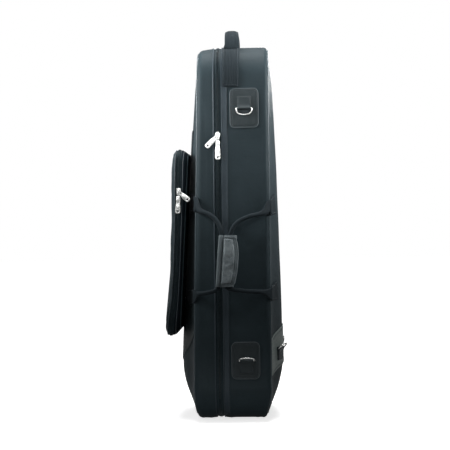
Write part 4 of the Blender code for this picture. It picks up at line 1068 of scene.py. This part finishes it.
def make_wall_rings():
    """The two leather patches on the near wall, with their loops and rings."""
    top = PATCH_THICK
    profile = ((0.0006, -0.0003), (0.0, 0.0004), (0.0, top - 0.0006), (0.0007, top + 0.0003),
               (0.0022, top + 0.0006), (0.0036, top - 0.0001), (0.0042, top - 0.0001), (0.0058, top + 0.0005),
               (0.0090, top + 0.0006))
    for prefix, size, middle, ring_up, flip, lift in (
            ("upper", (0.072, 0.101), (0.067, 0.7805), 0.7795, False, 0.0),
            ("lower", (0.070, 0.091), (0.0645, 0.1530), 0.1520, True, math.radians(66))):
        outline = rounded_box(*size, 0.0130, (middle[0], up_wall(middle[1])))
        made = plate(outline, profile, on_wall, ((0.8, top + 0.0004), (0.5, top + 0.0002), (0.2, top + 0.0002)))
        piece(prefix + "_leather_patch", made, "base", "leather", prefix + "_ring_patch")
        rim = on_wall(outline(0.0008)[0], top - 0.0003)
        piece(prefix + "_patch_rim", tube(rim, 0.0010, 8, WALL_OUT), "base", "edging")
        made = stitches_on(outline, 0.0039, on_wall, top - 0.0001, 0.0034, 0.0024)
        piece(prefix + "_patch_stitches", made, "base", "edging")
        height = 3 * GAP + PATCH_THICK + RING_WIRE + LOOP_THICK
        seat = turned(WALL_FRAME, (0.067, up_wall(ring_up), height), flip=flip)
        make_loop(prefix + "_leather_loop", prefix + "_ring_loop", seat, RING_WIRE + GAP + LOOP_THICK + 0.0004)
        make_ring(prefix + "_d_ring", turned(seat, lift=lift))


# Leather bands across the padded faces, and the back rings

BAND_CLEAR = 0.0118
BACK_BAND, BACK_BAND_RISE = (0.112, 0.202), (0.024, 0.028)
BACK_RING_ACROSS, BACK_RING_UP = 0.088, 0.176


def face_line(shares, up, side_up):
    """A line across a padded face, from shares of its width at one height to points at another."""
    return np.column_stack((shares * (wall_side(side_up) - BAND_CLEAR), np.zeros(len(shares)) + up))


def leather_band(name, half, kind, low, high, top, lip, *nodes):
    """A flat band between two lines over a padded face; lip is the far rim's raised edge."""
    shares = [(0.0, -0.0006), (0.0, top - 0.0005), (0.012, top + 0.0002)]
    shares += [(share, top) for share in (0.04, 0.2, 0.4, 0.6, 0.8, 0.96)] + lip + [(1.0, top - 0.0005)]
    shares += [(share, -0.0006) for share in (1.0, 0.75, 0.5, 0.25)]
    rows = [on_face(half)(low + (high - low) * share, height) for share, height in shares]
    piece(name, sweep(np.array(rows).transpose(1, 0, 2)), half.name, kind, *nodes)


def band_stitches(name, half, low, high, top, shares, clear=0):
    """Rows of stitches along a leather band, clear of its ends by some points."""
    parts = []
    for line in rows_between(low, high, shares):
        path = on_face(half)(line, top)[clear:len(line) - clear]
        parts.append(run_of_stitches(path, np.tile((half.side, 0.0, 0.0), (len(path), 1))))
    piece(name, gather(parts), half.name, "edging")


def make_back_band():
    """The leather band across the back, with its two loops and rings."""
    top, shares = 0.0016, np.linspace(-1, 1, 33)
    heights = [up + rise * (1 - shares ** 2) for up, rise in zip(BACK_BAND, BACK_BAND_RISE)]
    low, high = (face_line(shares, up, up) for up in heights)
    leather_band("back_leather_band", BASE, "band", low, high, top, [(0.988, top + 0.0002)], "back_band")
    band_stitches("band_stitches", BASE, low, high, top, (0.045, 0.075, 0.925, 0.955), 1)
    outer, upward = RING_WIRE + GAP + LOOP_THICK, np.array((0.0, 0.0, 1.0))
    for place, side, lift in (("near", -1, math.radians(45)), ("far", 1, math.radians(12))):
        across = side * BACK_RING_ACROSS
        surface_x = BASE.packed_face(across, BACK_RING_UP)
        slope = (BASE.packed_face(across + side * PIPING_RADIUS, BACK_RING_UP) - surface_x) / PIPING_RADIUS
        out = np.append(arc(-side * math.atan(slope)), 0.0)
        spot = np.array((surface_x, across, BACK_RING_UP)) + out * (2 * GAP + BAND_THICK + outer + 0.0010)
        seat = turned((spot, np.cross(upward, out), upward, out), flip=True)
        make_loop("back_" + place + "_leather_loop", "back_ring_tab_" + place, seat, outer + 0.0022)
        make_ring("back_d_ring_" + place, turned(seat, lift=lift))


# Carry handles

GRIP_UP, GRIP_DOWN, GRIP_OUT = 0.458, 0.332, 0.034
GRIP_LEAN, GRIP_THICK = 0.0093, 0.0135
LID_GRIP, BASE_GRIP = (-0.0007, 0.0063), (0.0220, 0.0156)
# Half, place, height, half width, rise on the face and half width there
LEGS = (
    (LID, "upper", 0.541, 0.0195, 0.012, 0.0250),
    (LID, "lower", 0.312, 0.0165, 0.001, 0.0220),
    (BASE, "upper", 0.530, 0.0195, 0.017, 0.0260),
    (BASE, "lower", 0.316, 0.0165, 0.012, 0.0240),
)
# Shares of the way across, along and out from a web's piping to its grip
ROUTE_SHARES = ((0.20, 0.22, 0.36), (0.52, 0.34, 0.68), (0.80, 0.52, 0.88), (0.95, 0.76, 0.98),
                (1.03, 1.08, 0.98))
CORD_RADIUS = 0.0055


def make_leg(half, place, up, flat, rise, far_half):
    """One web: sewn on the face, over the piping, rolled into a cord and into the grip."""
    depth, upper, stand = float(half.depth(up)), place == "upper", 0.0026
    centre = (LID_GRIP if half is LID else BASE_GRIP)[0]
    end_x = half.side * (centre + (GRIP_LEAN if upper else 0.0))
    end_up = GRIP_UP if upper else GRIP_DOWN
    rows = []
    for inset in (0.072, 0.060, 0.045, 0.030, 0.020, 0.0145):
        share = (inset - 0.012) / 0.060
        z = up + rise * share
        across = inset - wall_side(z)
        d = abs(half.face(across, z)) + face_puff(across, z) + 0.0013
        rows.append((d, z, -inset, flat + (far_half - flat) * share, 0.0013, 0.0))
    rows += [(depth + 0.0052, up, -0.0100, flat, 0.0013, 0.0),
             (depth + 0.0044, up, -0.0062, flat * 0.97, 0.0013, 0.0),
             (depth + 0.0018, up, -0.0012, flat * 0.86, 0.0017, 0.12)]
    for across, along, out in ROUTE_SHARES:
        roll = min(1.0, across / 0.30)
        rows.append((depth + stand + (end_x - depth - stand) * across, up + (end_up - up) * along,
                     stand + (GRIP_OUT - stand) * out,
                     CORD_RADIUS + (flat * 0.55 - CORD_RADIUS) * (1 - roll) ** 1.2,
                     CORD_RADIUS - (CORD_RADIUS - 0.0030) * (1 - roll), min(1.0, 0.45 + roll)))
    d, z, o, wide, thin, roundness = smooth_line(rows, 7).T
    route = placed(np.column_stack((half.side * d, z / math.cos(LEAN), o)), WALL_FRAME)
    ways = unit(np.gradient(route, axis=0))
    flow = unit(np.gradient(np.column_stack((d, o)), axis=0))
    out = half.side * flow[:, 1:] * WALL_FRAME[1] - flow[:, :1] * WALL_OUT
    normals = unit(out - ways * (out * ways).sum(1, keepdims=True))
    sides = np.cross(ways, normals)
    ridges = 0.035 * np.cos(7 * 2 * math.pi * (np.arange(28) + 0.5) / 28)[:, None]
    stations = zip(route, sides, normals, wide, thin, np.minimum(1.0, roundness))
    sections = [spot + oval(28, w, t, 0.28 + 0.72 * r, 0.5) * (1 + ridges * r) @ np.array((side, normal))
                for spot, side, normal, w, t, r in stations]
    nodes = [half.name + "_web_anchor_" + place] + ([half.name + "_handle_web"] if upper else [])
    edge = -wall_side(up)
    piece(half.name + "_web_" + place, sweep(sections), (half.name, half.name + "_handle"), "webbing", *nodes,
          blend=((half.side * (depth + 0.004), edge + 0.0105, up),
                 (half.side * (depth - 0.010), edge - 0.0080, up)))

    def on_web(rows, across):
        return (route + sides * wide[:, None] * across + normals * thin[:, None] * 0.98)[rows]

    parts = [run_of_stitches(on_web(slice(2, 35), across), normals[2:35]) for across in (-0.82, 0.82)]
    for n in (3, 26):
        path = [on_web(n, across) for across in (-0.8, 0.8)]
        parts.append(run_of_stitches(path, normals[[n, n]]))
    piece(half.name + "_web_stitches_" + place, gather(parts), half.name, "edging")


def grip_half_shell(name, body, centre, half_wide, node, seed):
    """One half's leather grip, a flattened tube from its top end to its lower end."""
    profile = [(0.012, -0.0052), (0.004, -0.0050), (0.0, -0.0032), (-0.0004, -0.0014), (0.002, -0.0003),
               (0.008, 0.0)]
    stations = profile + [(share, 0.0) for share in np.linspace(0.10, 0.90, 18)]
    rows = []
    for share, grow in stations + [(1 - share, grow) for share, grow in profile[::-1]]:
        grow += 0.0005 * math.sin(math.pi * min(max(share, 0), 1))
        section = oval(36, half_wide + grow, GRIP_THICK + grow, 0.48)
        section = section + (centre + GRIP_LEAN * (1 - share), GRIP_OUT)
        section = np.insert(section, 1, up_wall(GRIP_UP + (GRIP_DOWN - GRIP_UP) * share), axis=1)
        rows.append(placed(section, WALL_FRAME))
    rows = np.array(rows)
    noise_here = wave_noise(rows, ((0.030, 1.0), (0.012, 0.5)), seed)
    rows = rows + unit(rows - rows.mean(1, keepdims=True)) * (0.0004 * noise_here[..., None])
    piece(name, sweep(rows), body, "grip_dark", node, fill=0.7)


def make_grips():
    """The two grip halves, and the leather flap that closes over them."""
    grip_half_shell("lid_grip_leather", "lid_handle", *LID_GRIP, "lid_grip", 41)
    grip_half_shell("base_grip_leather", "base_handle", *BASE_GRIP, "base_grip", 42)
    front = GRIP_OUT + GRIP_THICK
    right = smooth_line(tenths((3315, 325), (3331, 362), (3413, 415), (3589, 455), (3847, 492),
                               (4147, 510), (4364, 490), (4478, 462), (4529, 430), (4545, 400)), 4)

    def left(z):
        return sum(LID_GRIP) + 0.0005 + GRIP_LEAN * (z - GRIP_DOWN) / (GRIP_UP - GRIP_DOWN)

    def surface(spots, height):
        """The flap lies on the grip's front and curls down past its side."""
        drop = np.clip((spots[:, 0] - 0.034) / 0.018, 0, 1.3) ** 2 * 0.0060
        tip = 0.0007 * wave_noise(np.column_stack((spots, spots[:, :1])), ((0.030, 1.0), (0.013, 0.6)), 8)
        return on_wall(spots, front - drop + height + tip)

    def crumpled(spots, height):
        folds = np.zeros(len(spots))
        for a, b, c, d in crumple:
            way = arc(a * 3.1)
            centre = np.array((0.027, up_wall(0.395))) @ way + (b - 0.5) * 0.05
            folds += 0.0016 * (c - 0.35) * np.exp(-((spots @ way - centre) / (0.0045 + 0.008 * d)) ** 2)
        return surface(spots, height) + WALL_OUT * folds[:, None]

    heights = np.linspace(0.4545, 0.3315, 12)
    spots = np.vstack((right[:, ::-1], np.column_stack((left(heights), heights))))
    outline = inset_of(spots * (1, up_wall(1.0)))
    profile = tenths((5, -26), (0, -14), (0, -2), (6, 6), (20, 10), (34, 5), (40, 5), (56, 11), (85, 9))
    made = plate(outline, profile, surface, ((0.75, 0.0008), (0.5, 0.0008), (0.2, 0.0008)))
    piece("grip_flap", made, "base_handle", "grip_dark", fill=0.4)
    made = stitches_on(outline, 0.0037, surface, 0.0006, 0.0034, 0.0024)
    piece("grip_flap_stitches", made, "base_handle", "edging")
    up, down = np.linspace(0.3413, 0.4467, 14), np.linspace(0.4488, 0.3393, 12)
    inner = np.vstack((np.column_stack((np.interp(up, *right.T) - 0.0105, up_wall(up))),
                       np.column_stack((left(down) + 0.0022, up_wall(down)))))
    crumple = np.random.default_rng(5).uniform(0, 1, (7, 4))
    made = plate(any_outline(inner, 2), tenths((0, 4), (2, 16), (10, 24), (22, 28)), crumpled,
                 tuple((share, 0.0029) for share in np.linspace(0.9, 0.06, 14)))
    piece("grip_panel", made, "base_handle", "grip", fill=0.5)
    parts = []
    for z in (0.4493, 0.4524):
        x = np.linspace(left(z) + 0.001, 0.043, 12)
        path = on_wall(np.column_stack((x, np.full(12, up_wall(z)))), front + 0.0010)
        parts.append(run_of_stitches(path, np.tile(WALL_OUT, (12, 1))))
    piece("grip_top_seam", gather(parts), "base_handle", "edging")


# Music pouch

POUCH_TOP, POUCH_HEIGHT = 0.680, 0.468
POUCH_HALF_HIGH, POUCH_HALF_LOW = 0.100, 0.135
CREST_HIGH = LID.packed_face(0.0, POUCH_TOP)
CREST_LOW = LID.packed_face(0.0, POUCH_TOP - POUCH_HEIGHT)
TILT = math.atan2(CREST_HIGH - CREST_LOW, POUCH_HEIGHT)
POUCH_FRAME = (np.array((CREST_HIGH - 0.002, 0.0, POUCH_TOP)), np.array((0.0, 1.0, 0.0)),
               np.array((math.sin(TILT), 0.0, math.cos(TILT))), np.array((-math.cos(TILT), 0.0, math.sin(TILT))))
# Height on the pouch and how far its front bends away there, then the inset of its side,
# its top and its lower end by thickness: tenths of a millimetre
BEND = tenths((-4700, -4500, -4200, -3800, -3200, -2500, -1800, -1200, -600, 0),
              (65, 55, 25, -10, -28, -24, -10, 18, 42, 45))
def pouch_edge():
    """The pouch's outline as (across, up) with outward directions."""
    corners = np.array(((POUCH_HALF_HIGH, 0.0), (-POUCH_HALF_HIGH, 0.0),
                        (-POUCH_HALF_LOW, -POUCH_HEIGHT), (POUCH_HALF_LOW, -POUCH_HEIGHT)))
    arcs = []
    for n, (here, radius) in enumerate(zip(corners, (0.036, 0.036, 0.044, 0.044))):
        before, after = unit(corners[n - 1] - here), unit(corners[(n + 1) % 4] - here)
        half = math.acos(float(before @ after)) / 2
        centre = here + unit(before + after) * radius / math.sin(half)
        first, last = (here + way * radius / math.tan(half) - centre for way in (before, after))
        start = math.atan2(*first[::-1])
        turn = (math.atan2(*last[::-1]) - start + math.pi) % (2 * math.pi) - math.pi
        ways = arc(start + turn * np.arange(13) / 12)
        arcs.append((centre + ways * radius, ways))
    spots, outs = [], []
    for n, (line, ways) in enumerate(arcs):
        steps = 30 if n % 2 else 12
        after = arcs[(n + 1) % 4][0][0]
        spots += [line, line[-1] + (after - line[-1]) * np.arange(1, steps)[:, None] / steps]
        outs += [ways, np.tile(ways[-1], (steps - 1, 1))]
    return np.vstack(spots), np.vstack(outs)


POUCH_EDGE, POUCH_WAYS = pouch_edge()
SIDE_IN = tenths((0, 30, 70, 100, 118, 135, 150, 260, 275, 300, 330), (45, 8, -22, -10, 6, 9, 4, 4, -10, 8, 40))
TOP_IN = tenths((0, 40, 80, 125, 175, 220, 262, 300, 330), (140, 85, 48, 18, 2, 4, 20, 58, 120))
LOW_IN = tenths((0, 30, 60, 95, 135, 200, 235, 262, 285, 310, 330),
                (190, 110, 55, 8, -28, -52, -48, -32, -5, 50, 120))


def pouch_row(t, extra=0.0, share=1.0, rise=0.0):
    """A row of the pouch at a thickness, drawn in to a share of its outline."""
    inward = POUCH_WAYS[:, 1] ** 2
    ends = np.where(POUCH_WAYS[:, 1] > 0, np.interp(t, *TOP_IN), np.interp(t, *LOW_IN))
    inset = np.interp(t, *SIDE_IN) * (1 - inward) + ends * inward + extra
    spots = POUCH_EDGE - POUCH_WAYS * inset[:, None]
    middle = np.clip(spots[:, 1], -POUCH_HEIGHT + 0.11, -0.10)
    spots = np.column_stack((spots[:, 0] * share, middle + (spots[:, 1] - middle) * share))
    return in_pouch(spots, t + rise)


def in_pouch(spots, t):
    """Points of the pouch, bent as its front is."""
    bend = np.interp(spots[:, 1], *BEND) * np.clip(t / 0.020, 0, 1)
    return placed(np.column_stack((spots, t + bend)), POUCH_FRAME)


def puffed(points, count, held, pressure, cap, grow):
    """Rows of a sheet after a short cloth simulation under pressure, with its first rows held."""
    scene, rows = bpy.context.scene, len(points) // count
    faces = grid_faces(rows, count) + across_faces((rows - 1) * count, count)
    made = new_object("sheet_under_pressure", points, faces)
    group = made.vertex_groups.new(name="held")
    group.add(list(range(held * count)), 1.0, "REPLACE")
    cloth = made.modifiers.new("Cloth", "CLOTH")
    for key, value in (("quality", 6), ("mass", 0.3), ("tension_stiffness", 25), ("compression_stiffness", 25),
                       ("shear_stiffness", 12), ("bending_stiffness", 3.0), ("vertex_group_mass", "held"),
                       ("use_pressure", True), ("uniform_pressure_force", pressure), ("shrink_min", -grow)):
        setattr(cloth.settings, key, value)
    cloth.settings.effector_weights.gravity = 0
    cloth.collision_settings.use_collision = False
    cloth.point_cache.frame_start, cloth.point_cache.frame_end = 1, 20
    for step in range(1, 21):
        scene.frame_set(step)
    found = made.evaluated_get(bpy.context.evaluated_depsgraph_get())
    after = np.zeros(len(points) * 3)
    found.data.vertices.foreach_get("co", after)
    scene.frame_set(1)
    bpy.data.objects.remove(made)
    move = after.reshape(-1, 3) - CASE - points
    far = np.linalg.norm(move, axis=1, keepdims=True)
    return points + move * np.minimum(1, cap / np.maximum(far, 1e-9))


def make_pouch():
    make_pouch_cloth()
    make_pouch_zipper("pocket", "rear", -1, 0.0193, 0.0130, "pocket_zipper_tape")
    make_pouch_zipper("pocket_flap", "front", 1, 0.0197, 0.0266)
    forward = POUCH_FRAME[3]
    for name, body, kind, t, extra, radius in (
            ("rear", "pocket", "tape", 0.0006, -0.0006, 0.0017),
            ("front", "pocket_flap", "piping_light", 0.0272, 0.0002, 0.0014)):
        piece("pouch_" + name + "_piping", tube(pouch_row(t, extra), radius, 10, forward), body, kind,
              "pocket_" + name + "_piping")
    piece("pouch_seam_cord", tube(pouch_row(0.0096, 0.0003), 0.0009, 8, forward), "pocket", "piping_light")

    lean = math.atan2(POUCH_HALF_LOW - POUCH_HALF_HIGH, POUCH_HEIGHT)
    origin, sideways, upward, _ = POUCH_FRAME
    up = math.sin(lean) * sideways + math.cos(lean) * upward
    out = -math.cos(lean) * sideways + math.sin(lean) * upward
    origin = origin + forward * 0.0195 - sideways * POUCH_HALF_HIGH
    make_sliders("pocket_", (origin, -forward, up, out), (0.561 - POUCH_TOP) / math.cos(lean), GAP,
                 (math.radians(52), 0.0), 0.036)
    for place, side in (("near", -1), ("far", 1)):
        make_pouch_tab(place, side * 0.018)


def with_noise(rows, sizes, seed, amount):
    """Rows of the pouch, moved in and out along its depth."""
    rows = np.array(rows)
    return rows + POUCH_FRAME[3] * (amount * wave_noise(rows, sizes, seed))[..., None]


def make_pouch_cloth():
    """The pouch's rear cloth, near black as painted shade, and its filled-out front."""
    rear = [pouch_row(0.0, 0.0, share) for share in (0.05, 0.3, 0.6, 0.85, 0.96, 1.0)]
    rear += [pouch_row(t) for t in (0.0015, 0.003, 0.0055, 0.008, 0.0100, 0.0118, 0.0132)]
    rear += [pouch_row(t, 0.0026) for t in (0.0132, 0.008, 0.0040)]
    rear += [pouch_row(0.0028, 0.004, share) for share in (0.97, 0.8, 0.5, 0.2, 0.05)]
    rear = with_noise(rear, ((0.09, 1.0), (0.03, 0.4)), 51, 0.0005)
    # The rear cloth takes the near-black finish, painted shade for the dark gap behind the pouch.
    piece("pouch_rear_cloth", sweep(rear), "pocket", "shade", "pocket_rear", fill=0.6)

    front = [pouch_row(t) for t in (0.0262, 0.0268, 0.0275, 0.0288, 0.0302, 0.0318, 0.0330)]
    for share in np.concatenate((np.linspace(0.99, 0.90, 7), np.linspace(0.86, 0.06, 22))):
        depth = min((1 - share) * 0.100 / 0.060, 1)
        front.append(pouch_row(0.0330, 0.0, share, 0.0050 * math.sin(depth * math.pi / 2)))
    front = np.array(front)
    front = puffed(front.reshape(-1, 3), front.shape[1], 5, 2.0, 0.0028, 0.008).reshape(front.shape)
    wrinkle = wave_noise(front, ((0.10, 1.0), (0.035, 0.35)), 61)
    fade = np.clip((np.arange(len(front)) - 3) / 8, 0, 1)[:, None]
    front = front + POUCH_FRAME[3] * (0.0011 * (wrinkle - 0.4) * fade)[..., None]
    centre = front[-1].mean(0)
    inner = [row - POUCH_FRAME[3] * 0.0030 + (centre - row) * 0.012 for row in front[::-1][:-3:3]]
    rows = [*front[::-1], pouch_row(0.0262, 0.0028), *inner[::-1]]
    piece("pouch_front_cloth", sweep(rows), "pocket_flap", "nylon", "pocket_front", fill=0.6)


def make_pouch_zipper(body, place, outer, near, far, *nodes):
    """One of the pouch's two zipper tapes, with its teeth."""
    profile = [(near + outer * along, inset)
               for along, inset in tenths((0, 4), (22, 4), (28, 9), (48, 9), (62, 11))]
    profile += [(far, 0.0013), (far, 0.0036), (near, 0.0034)]
    made = sweep([pouch_row(*spot) for spot in profile], closed=True)
    piece("pouch_tape_" + place, made, body, "tape", *nodes)
    middle = near + outer * 0.0011
    route = pouch_row(middle, 0.0006)
    outs = unit(pouch_row(middle, -0.0006) - route)
    route, outs = (np.vstack((rows, rows[:1])) for rows in (route, outs))
    run = run_along(route)
    at = np.arange(0, run[-1], 0.0022) + (0.0011 if outer > 0 else 0)
    up, long = unit(at_run(at, run, outs)), np.tile(POUCH_FRAME[3], (len(at), 1))
    made = blocks(at_run(at, run, route), long, unit(np.cross(up, long)), up, 0.0022, 0.0014, 0.0008)
    piece("pouch_teeth_" + place, made, body, "teeth")


def make_pouch_tab(place, middle):
    """A web tab where the pouch hangs from the case, laid on the lid's face."""
    u = np.concatenate(([0.0, 0.01, 0.04], np.linspace(0.08, 0.92, 22), [0.96, 0.99, 1.0]))
    rim = np.select([np.isin(u, (0.0, 1.0)), np.isin(u, (0.01, 0.99))], [0.0008, 0.0002], 0.0)
    y, height = middle + (u - 0.5) * 0.030, 0.0020 + 0.0002 * np.cos(2 * math.pi * 8 * u) - rim
    rows = []
    for z in np.linspace(0.732, 0.652, 30):
        tuck = 0.0004 if z > 0.7315 or z < 0.6525 else 0.0
        spots = np.column_stack((np.append(y, y[::-1]), np.full(2 * len(y), z)))
        rows.append(on_face(LID)(spots, np.append(height - tuck, np.full(len(y), 0.0001)) - 0.0006))
    piece("pouch_tab_" + place, sweep(rows), ("lid", "pocket"), "webbing", "pocket_tab_" + place,
          blend=((CREST_HIGH, 0.0, POUCH_TOP + 0.0045), (CREST_HIGH, 0.0, POUCH_TOP - 0.0045)))
    box = rounded_box(0.024, 0.030, 0.001, (middle, 0.713), 2)
    piece("pouch_tab_stitches_" + place, stitches_on(box, 0.0, on_face(LID), 0.0016), "lid", "edging")


def make_front_strip():
    """The leather strip low on the padded front face, behind the pouch."""
    shares, top = np.linspace(-1, 1, 41), 0.0012
    low = face_line(shares, 0.222 - 0.085 * (1 - abs(shares) ** 1.6), 0.222 - 0.085 * (1 - abs(shares)) ** 0.8)
    high = face_line(shares, 0.300, 0.300)
    leather_band("front_leather_strip", LID, "leather", low, high, top, [])
    band_stitches("front_strip_stitches", LID, low, high, top, (0.05, 0.085))


# Fabric hinge, feet and inside

def make_hinge():
    """The web down the far wall that both halves turn on."""
    low, high, half_wide = 0.150, 0.800, 0.022
    sides = half_wide - np.array((0.0, 0.0002, 0.0008))
    x = np.concatenate((-sides, np.linspace(-0.020, 0.020, 33), sides[::-1]))
    edge = half_wide - abs(x)
    rim = np.select([edge < 0.0001, edge < 0.0004], [0.0006, 0.0002], 0.0)
    height = 0.0036 + 0.00016 * np.cos(2 * math.pi * x / 0.0033) - rim
    rows = []
    for z in (low, 0.1504, 0.1515, *np.linspace(0.154, 0.796, 90), 0.7985, 0.7996, high):
        end = min(z - low, high - z)
        thin = 0.0007 if end < 0.0002 else (0.0002 if end < 0.0008 else 0.0)
        out = wall_side(z, np.append(height - thin, np.full(len(x), 0.0021)))
        rows.append(np.column_stack((np.append(x, x[::-1]), out, np.full(2 * len(x), z))))
    piece("hinge_cover", sweep(rows), ("base", "lid"), "webbing", "base_hinge_tape", "lid_hinge_tape",
          blend=((0.004, wall_side(0.4), 0.4), (-0.004, wall_side(0.4), 0.4)))
    z = np.linspace(0.153, 0.797, 40)
    outs = np.tile((0.0, math.cos(LEAN), math.sin(LEAN)), (40, 1))
    for half in (BASE, LID):
        parts = [run_of_stitches(np.column_stack((np.full(40, half.side * x), wall_side(z, 0.0037), z)), outs)
                 for x in (0.0188, 0.0165)]
        piece(half.name + "_hinge_stitches", gather(parts), half.name, "edging")


def make_feet():
    """The four metal feet, turned from one profile."""
    profile = tenths((3, 0), (30, 1), (46, 6), (56, 15), (60, 25), (66, 30), (92, 32), (104, 37), (110, 47),
                     (110, 56), (102, 62), (3, 62))
    for half, along in ((LID, 0.033), (BASE, 0.091)):
        for place, side in (("near", -1), ("far", 1)):
            name = half.name + "_foot_" + place
            middle = (half.side * along, side * 0.080, 0.0)
            stud = sweep([np.insert(oval(32, radius, radius), 2, up, axis=1) + middle
                          for radius, up in profile])
            piece(name + "_stud", stud, half.name, "metal", name)


def eased(node, body, width, segments, fill):
    """A padded body of the inside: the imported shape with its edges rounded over."""
    bm = bmesh.new()
    bm.from_mesh(frame["nodes"][node].data)
    bmesh.ops.remove_doubles(bm, verts=bm.verts, dist=0.00001)
    bmesh.ops.dissolve_limit(bm, angle_limit=math.radians(2), verts=bm.verts, edges=bm.edges)
    sharp = [edge for edge in bm.edges
             if len(edge.link_faces) == 2 and edge.calc_face_angle(0) > math.radians(35)]
    bmesh.ops.bevel(bm, geom=sharp, offset=width, segments=segments, profile=0.6, affect="EDGES",
                    clamp_overlap=True, offset_type="OFFSET")
    bmesh.ops.triangulate(bm, faces=[face for face in bm.faces if len(face.verts) > 4])
    bmesh.ops.recalc_face_normals(bm, faces=bm.faces)
    bm.verts.index_update()
    bm.faces.index_update()
    in_order = sorted(bm.faces, key=lambda face: sorted(vert.index for vert in face.verts))
    ranks = {face.index: rank for rank, face in enumerate(in_order)}
    bm.faces.sort(key=lambda face: ranks[face.index])
    name = node + "_plush"
    dress(linked(name, bpy.data.meshes.new(name), bm, 50), body, "plush", node, fill=fill)


def make_inside():
    for node, body, *values in (
            ("bell_throat_rest", "base", 0.0035, 4, 0.8), ("bell_neck_rest", "base", 0.0035, 4, 0.8),
            ("slide_rest_lower", "lid", 0.0035, 4, 0.8), ("slide_rest_upper", "lid", 0.0035, 4, 0.8),
            ("accessory_box", "base", 0.0008, 2, 0.3), ("accessory_lid", "accessory_lid", 0.0010, 3, 0.3)):
        eased(node, body, *values)


make_shell()
make_top_handle()
make_wall_rings()
make_back_band()
make_sliders("main_", WALL_FRAME, up_wall(0.7015), 0.0010, (math.radians(-45), 0.0), 0.042)
for leg in LEGS:
    make_leg(*leg)
make_grips()
make_pouch()
make_front_strip()
make_hinge()
make_feet()
make_inside()


# Camera, lights and floor

def camera_light(tree, glossy):
    """Nodes for 1 where the camera looks, and a share of that in glossy reflections."""
    rays = tree.nodes.new("ShaderNodeLightPath").outputs
    mirror = maths(tree, "MULTIPLY", rays["Is Glossy Ray"], glossy)
    seen = maths(tree, "MAXIMUM", rays["Is Camera Ray"], mirror)
    return maths(tree, "MAXIMUM", seen, rays["Is Transmission Ray"])


def make_floor():
    """White paper that takes soft shadows."""
    size = 14.0
    floor = add("floor", bpy.data.meshes.new("floor"))
    floor.data.from_pydata([(-size, -size, 0), (size, -size, 0), (size, size, 0), (-size, size, 0)], [],
                           [(0, 1, 2, 3)])
    made, tree, shader, place = nodes_of("floor_paper")
    seen = camera_light(tree, 0.16)
    level = span(tree, seen, 0.30, 1.0)
    colour = new_node(tree, "CombineColor", {"Red": level, "Green": level, "Blue": level})
    away = new_node(tree, "VectorMath", {0: place}, operation="LENGTH")
    far = new_node(tree, "MapRange", {"Value": away.outputs["Value"], "From Min": 0.35, "From Max": 1.5,
                                      "To Min": 0.72, "To Max": 1.0})
    glow = maths(tree, "MULTIPLY", seen, far.outputs["Result"])
    feed(tree, shader, {"Base Color": colour.outputs["Color"], "Roughness": 1.0, "Specular IOR Level": 0.0,
                        "Emission Color": (1, 1, 1, 1), "Emission Strength": glow})
    floor.data.materials.append(made)


# Name, place, aim, size, power and spread
LAMPS = (
    ("front_softbox", (-0.15, -0.95, 1.02), (-0.12, 0.0, 1.02), (0.5, 0.3), 1.2, 1.3),
    ("front_fill", (-0.25, -0.80, 0.80), (-0.16, 0.0, 0.72), (0.5, 0.3), 0.7, math.pi),
    ("low_fill", (-0.10, -0.95, 0.12), (-0.05, 0.0, 0.00), (0.4, 0.1), 0.08, 0.5),
    ("top_softbox", (0.0, 0.0, 2.0), (0, 0, 0), (0.9, 0.9), 38, math.pi),
    ("right_softbox", (0.95, -0.15, 1.02), (0.0, -0.05, 0.94), (0.5, 0.3), 7.2, 1.5),
    ("left_softbox", (-0.90, -0.30, 1.05), (0.0, -0.05, 0.98), (0.5, 0.3), 9.0, 1.6),
    ("back_softbox", (0.15, 0.98, 1.05), (0.05, 0.0, 0.90), (0.5, 0.3), 4.0, 2.0),
)


def make_stage():
    """White surroundings, the floor, the lamps and the camera."""
    scene = bpy.context.scene
    scene.view_settings.view_transform = "Standard"
    scene.world = bpy.data.worlds.new("studio")
    scene.world.use_nodes = True
    tree = scene.world.node_tree
    strength = maths(tree, "MAXIMUM", camera_light(tree, 0.28), 0.06)
    feed(tree, tree.nodes["Background"], {"Color": (1, 1, 1, 1), "Strength": strength})
    make_floor()
    for name, place, aim, size, power, spread in LAMPS:
        data = bpy.data.lights.new(name, "AREA")
        data.shape = "RECTANGLE"
        data.size, data.size_y = size
        data.energy, data.spread = power, spread
        made = add(name, data)
        made.location = place
        made.rotation_euler = (Vector(aim) - Vector(place)).to_track_quat("-Z", "Y").to_euler()
        made.visible_camera = False
    data = bpy.data.cameras.new("camera")
    data.sensor_width, data.lens = 36.0, 97.6
    scene.camera = add("camera", data)
    place_camera(scene.camera)


def place_camera(made):
    """The photograph's view: nearly square to the handle side, a little from the back."""
    yaw, roll, distance = math.radians(2.4), math.radians(0.78), 3.172
    away = Vector((math.sin(yaw), -math.cos(yaw), 0))
    made.location = Vector(CASE) + Vector((0.01065, 0.0, 0.4875)) + away * distance
    look = (-away).to_track_quat("-Z", "Y").to_matrix()
    made.rotation_euler = (look @ Matrix.Rotation(-roll, 3, "Z")).to_euler()


make_stage()
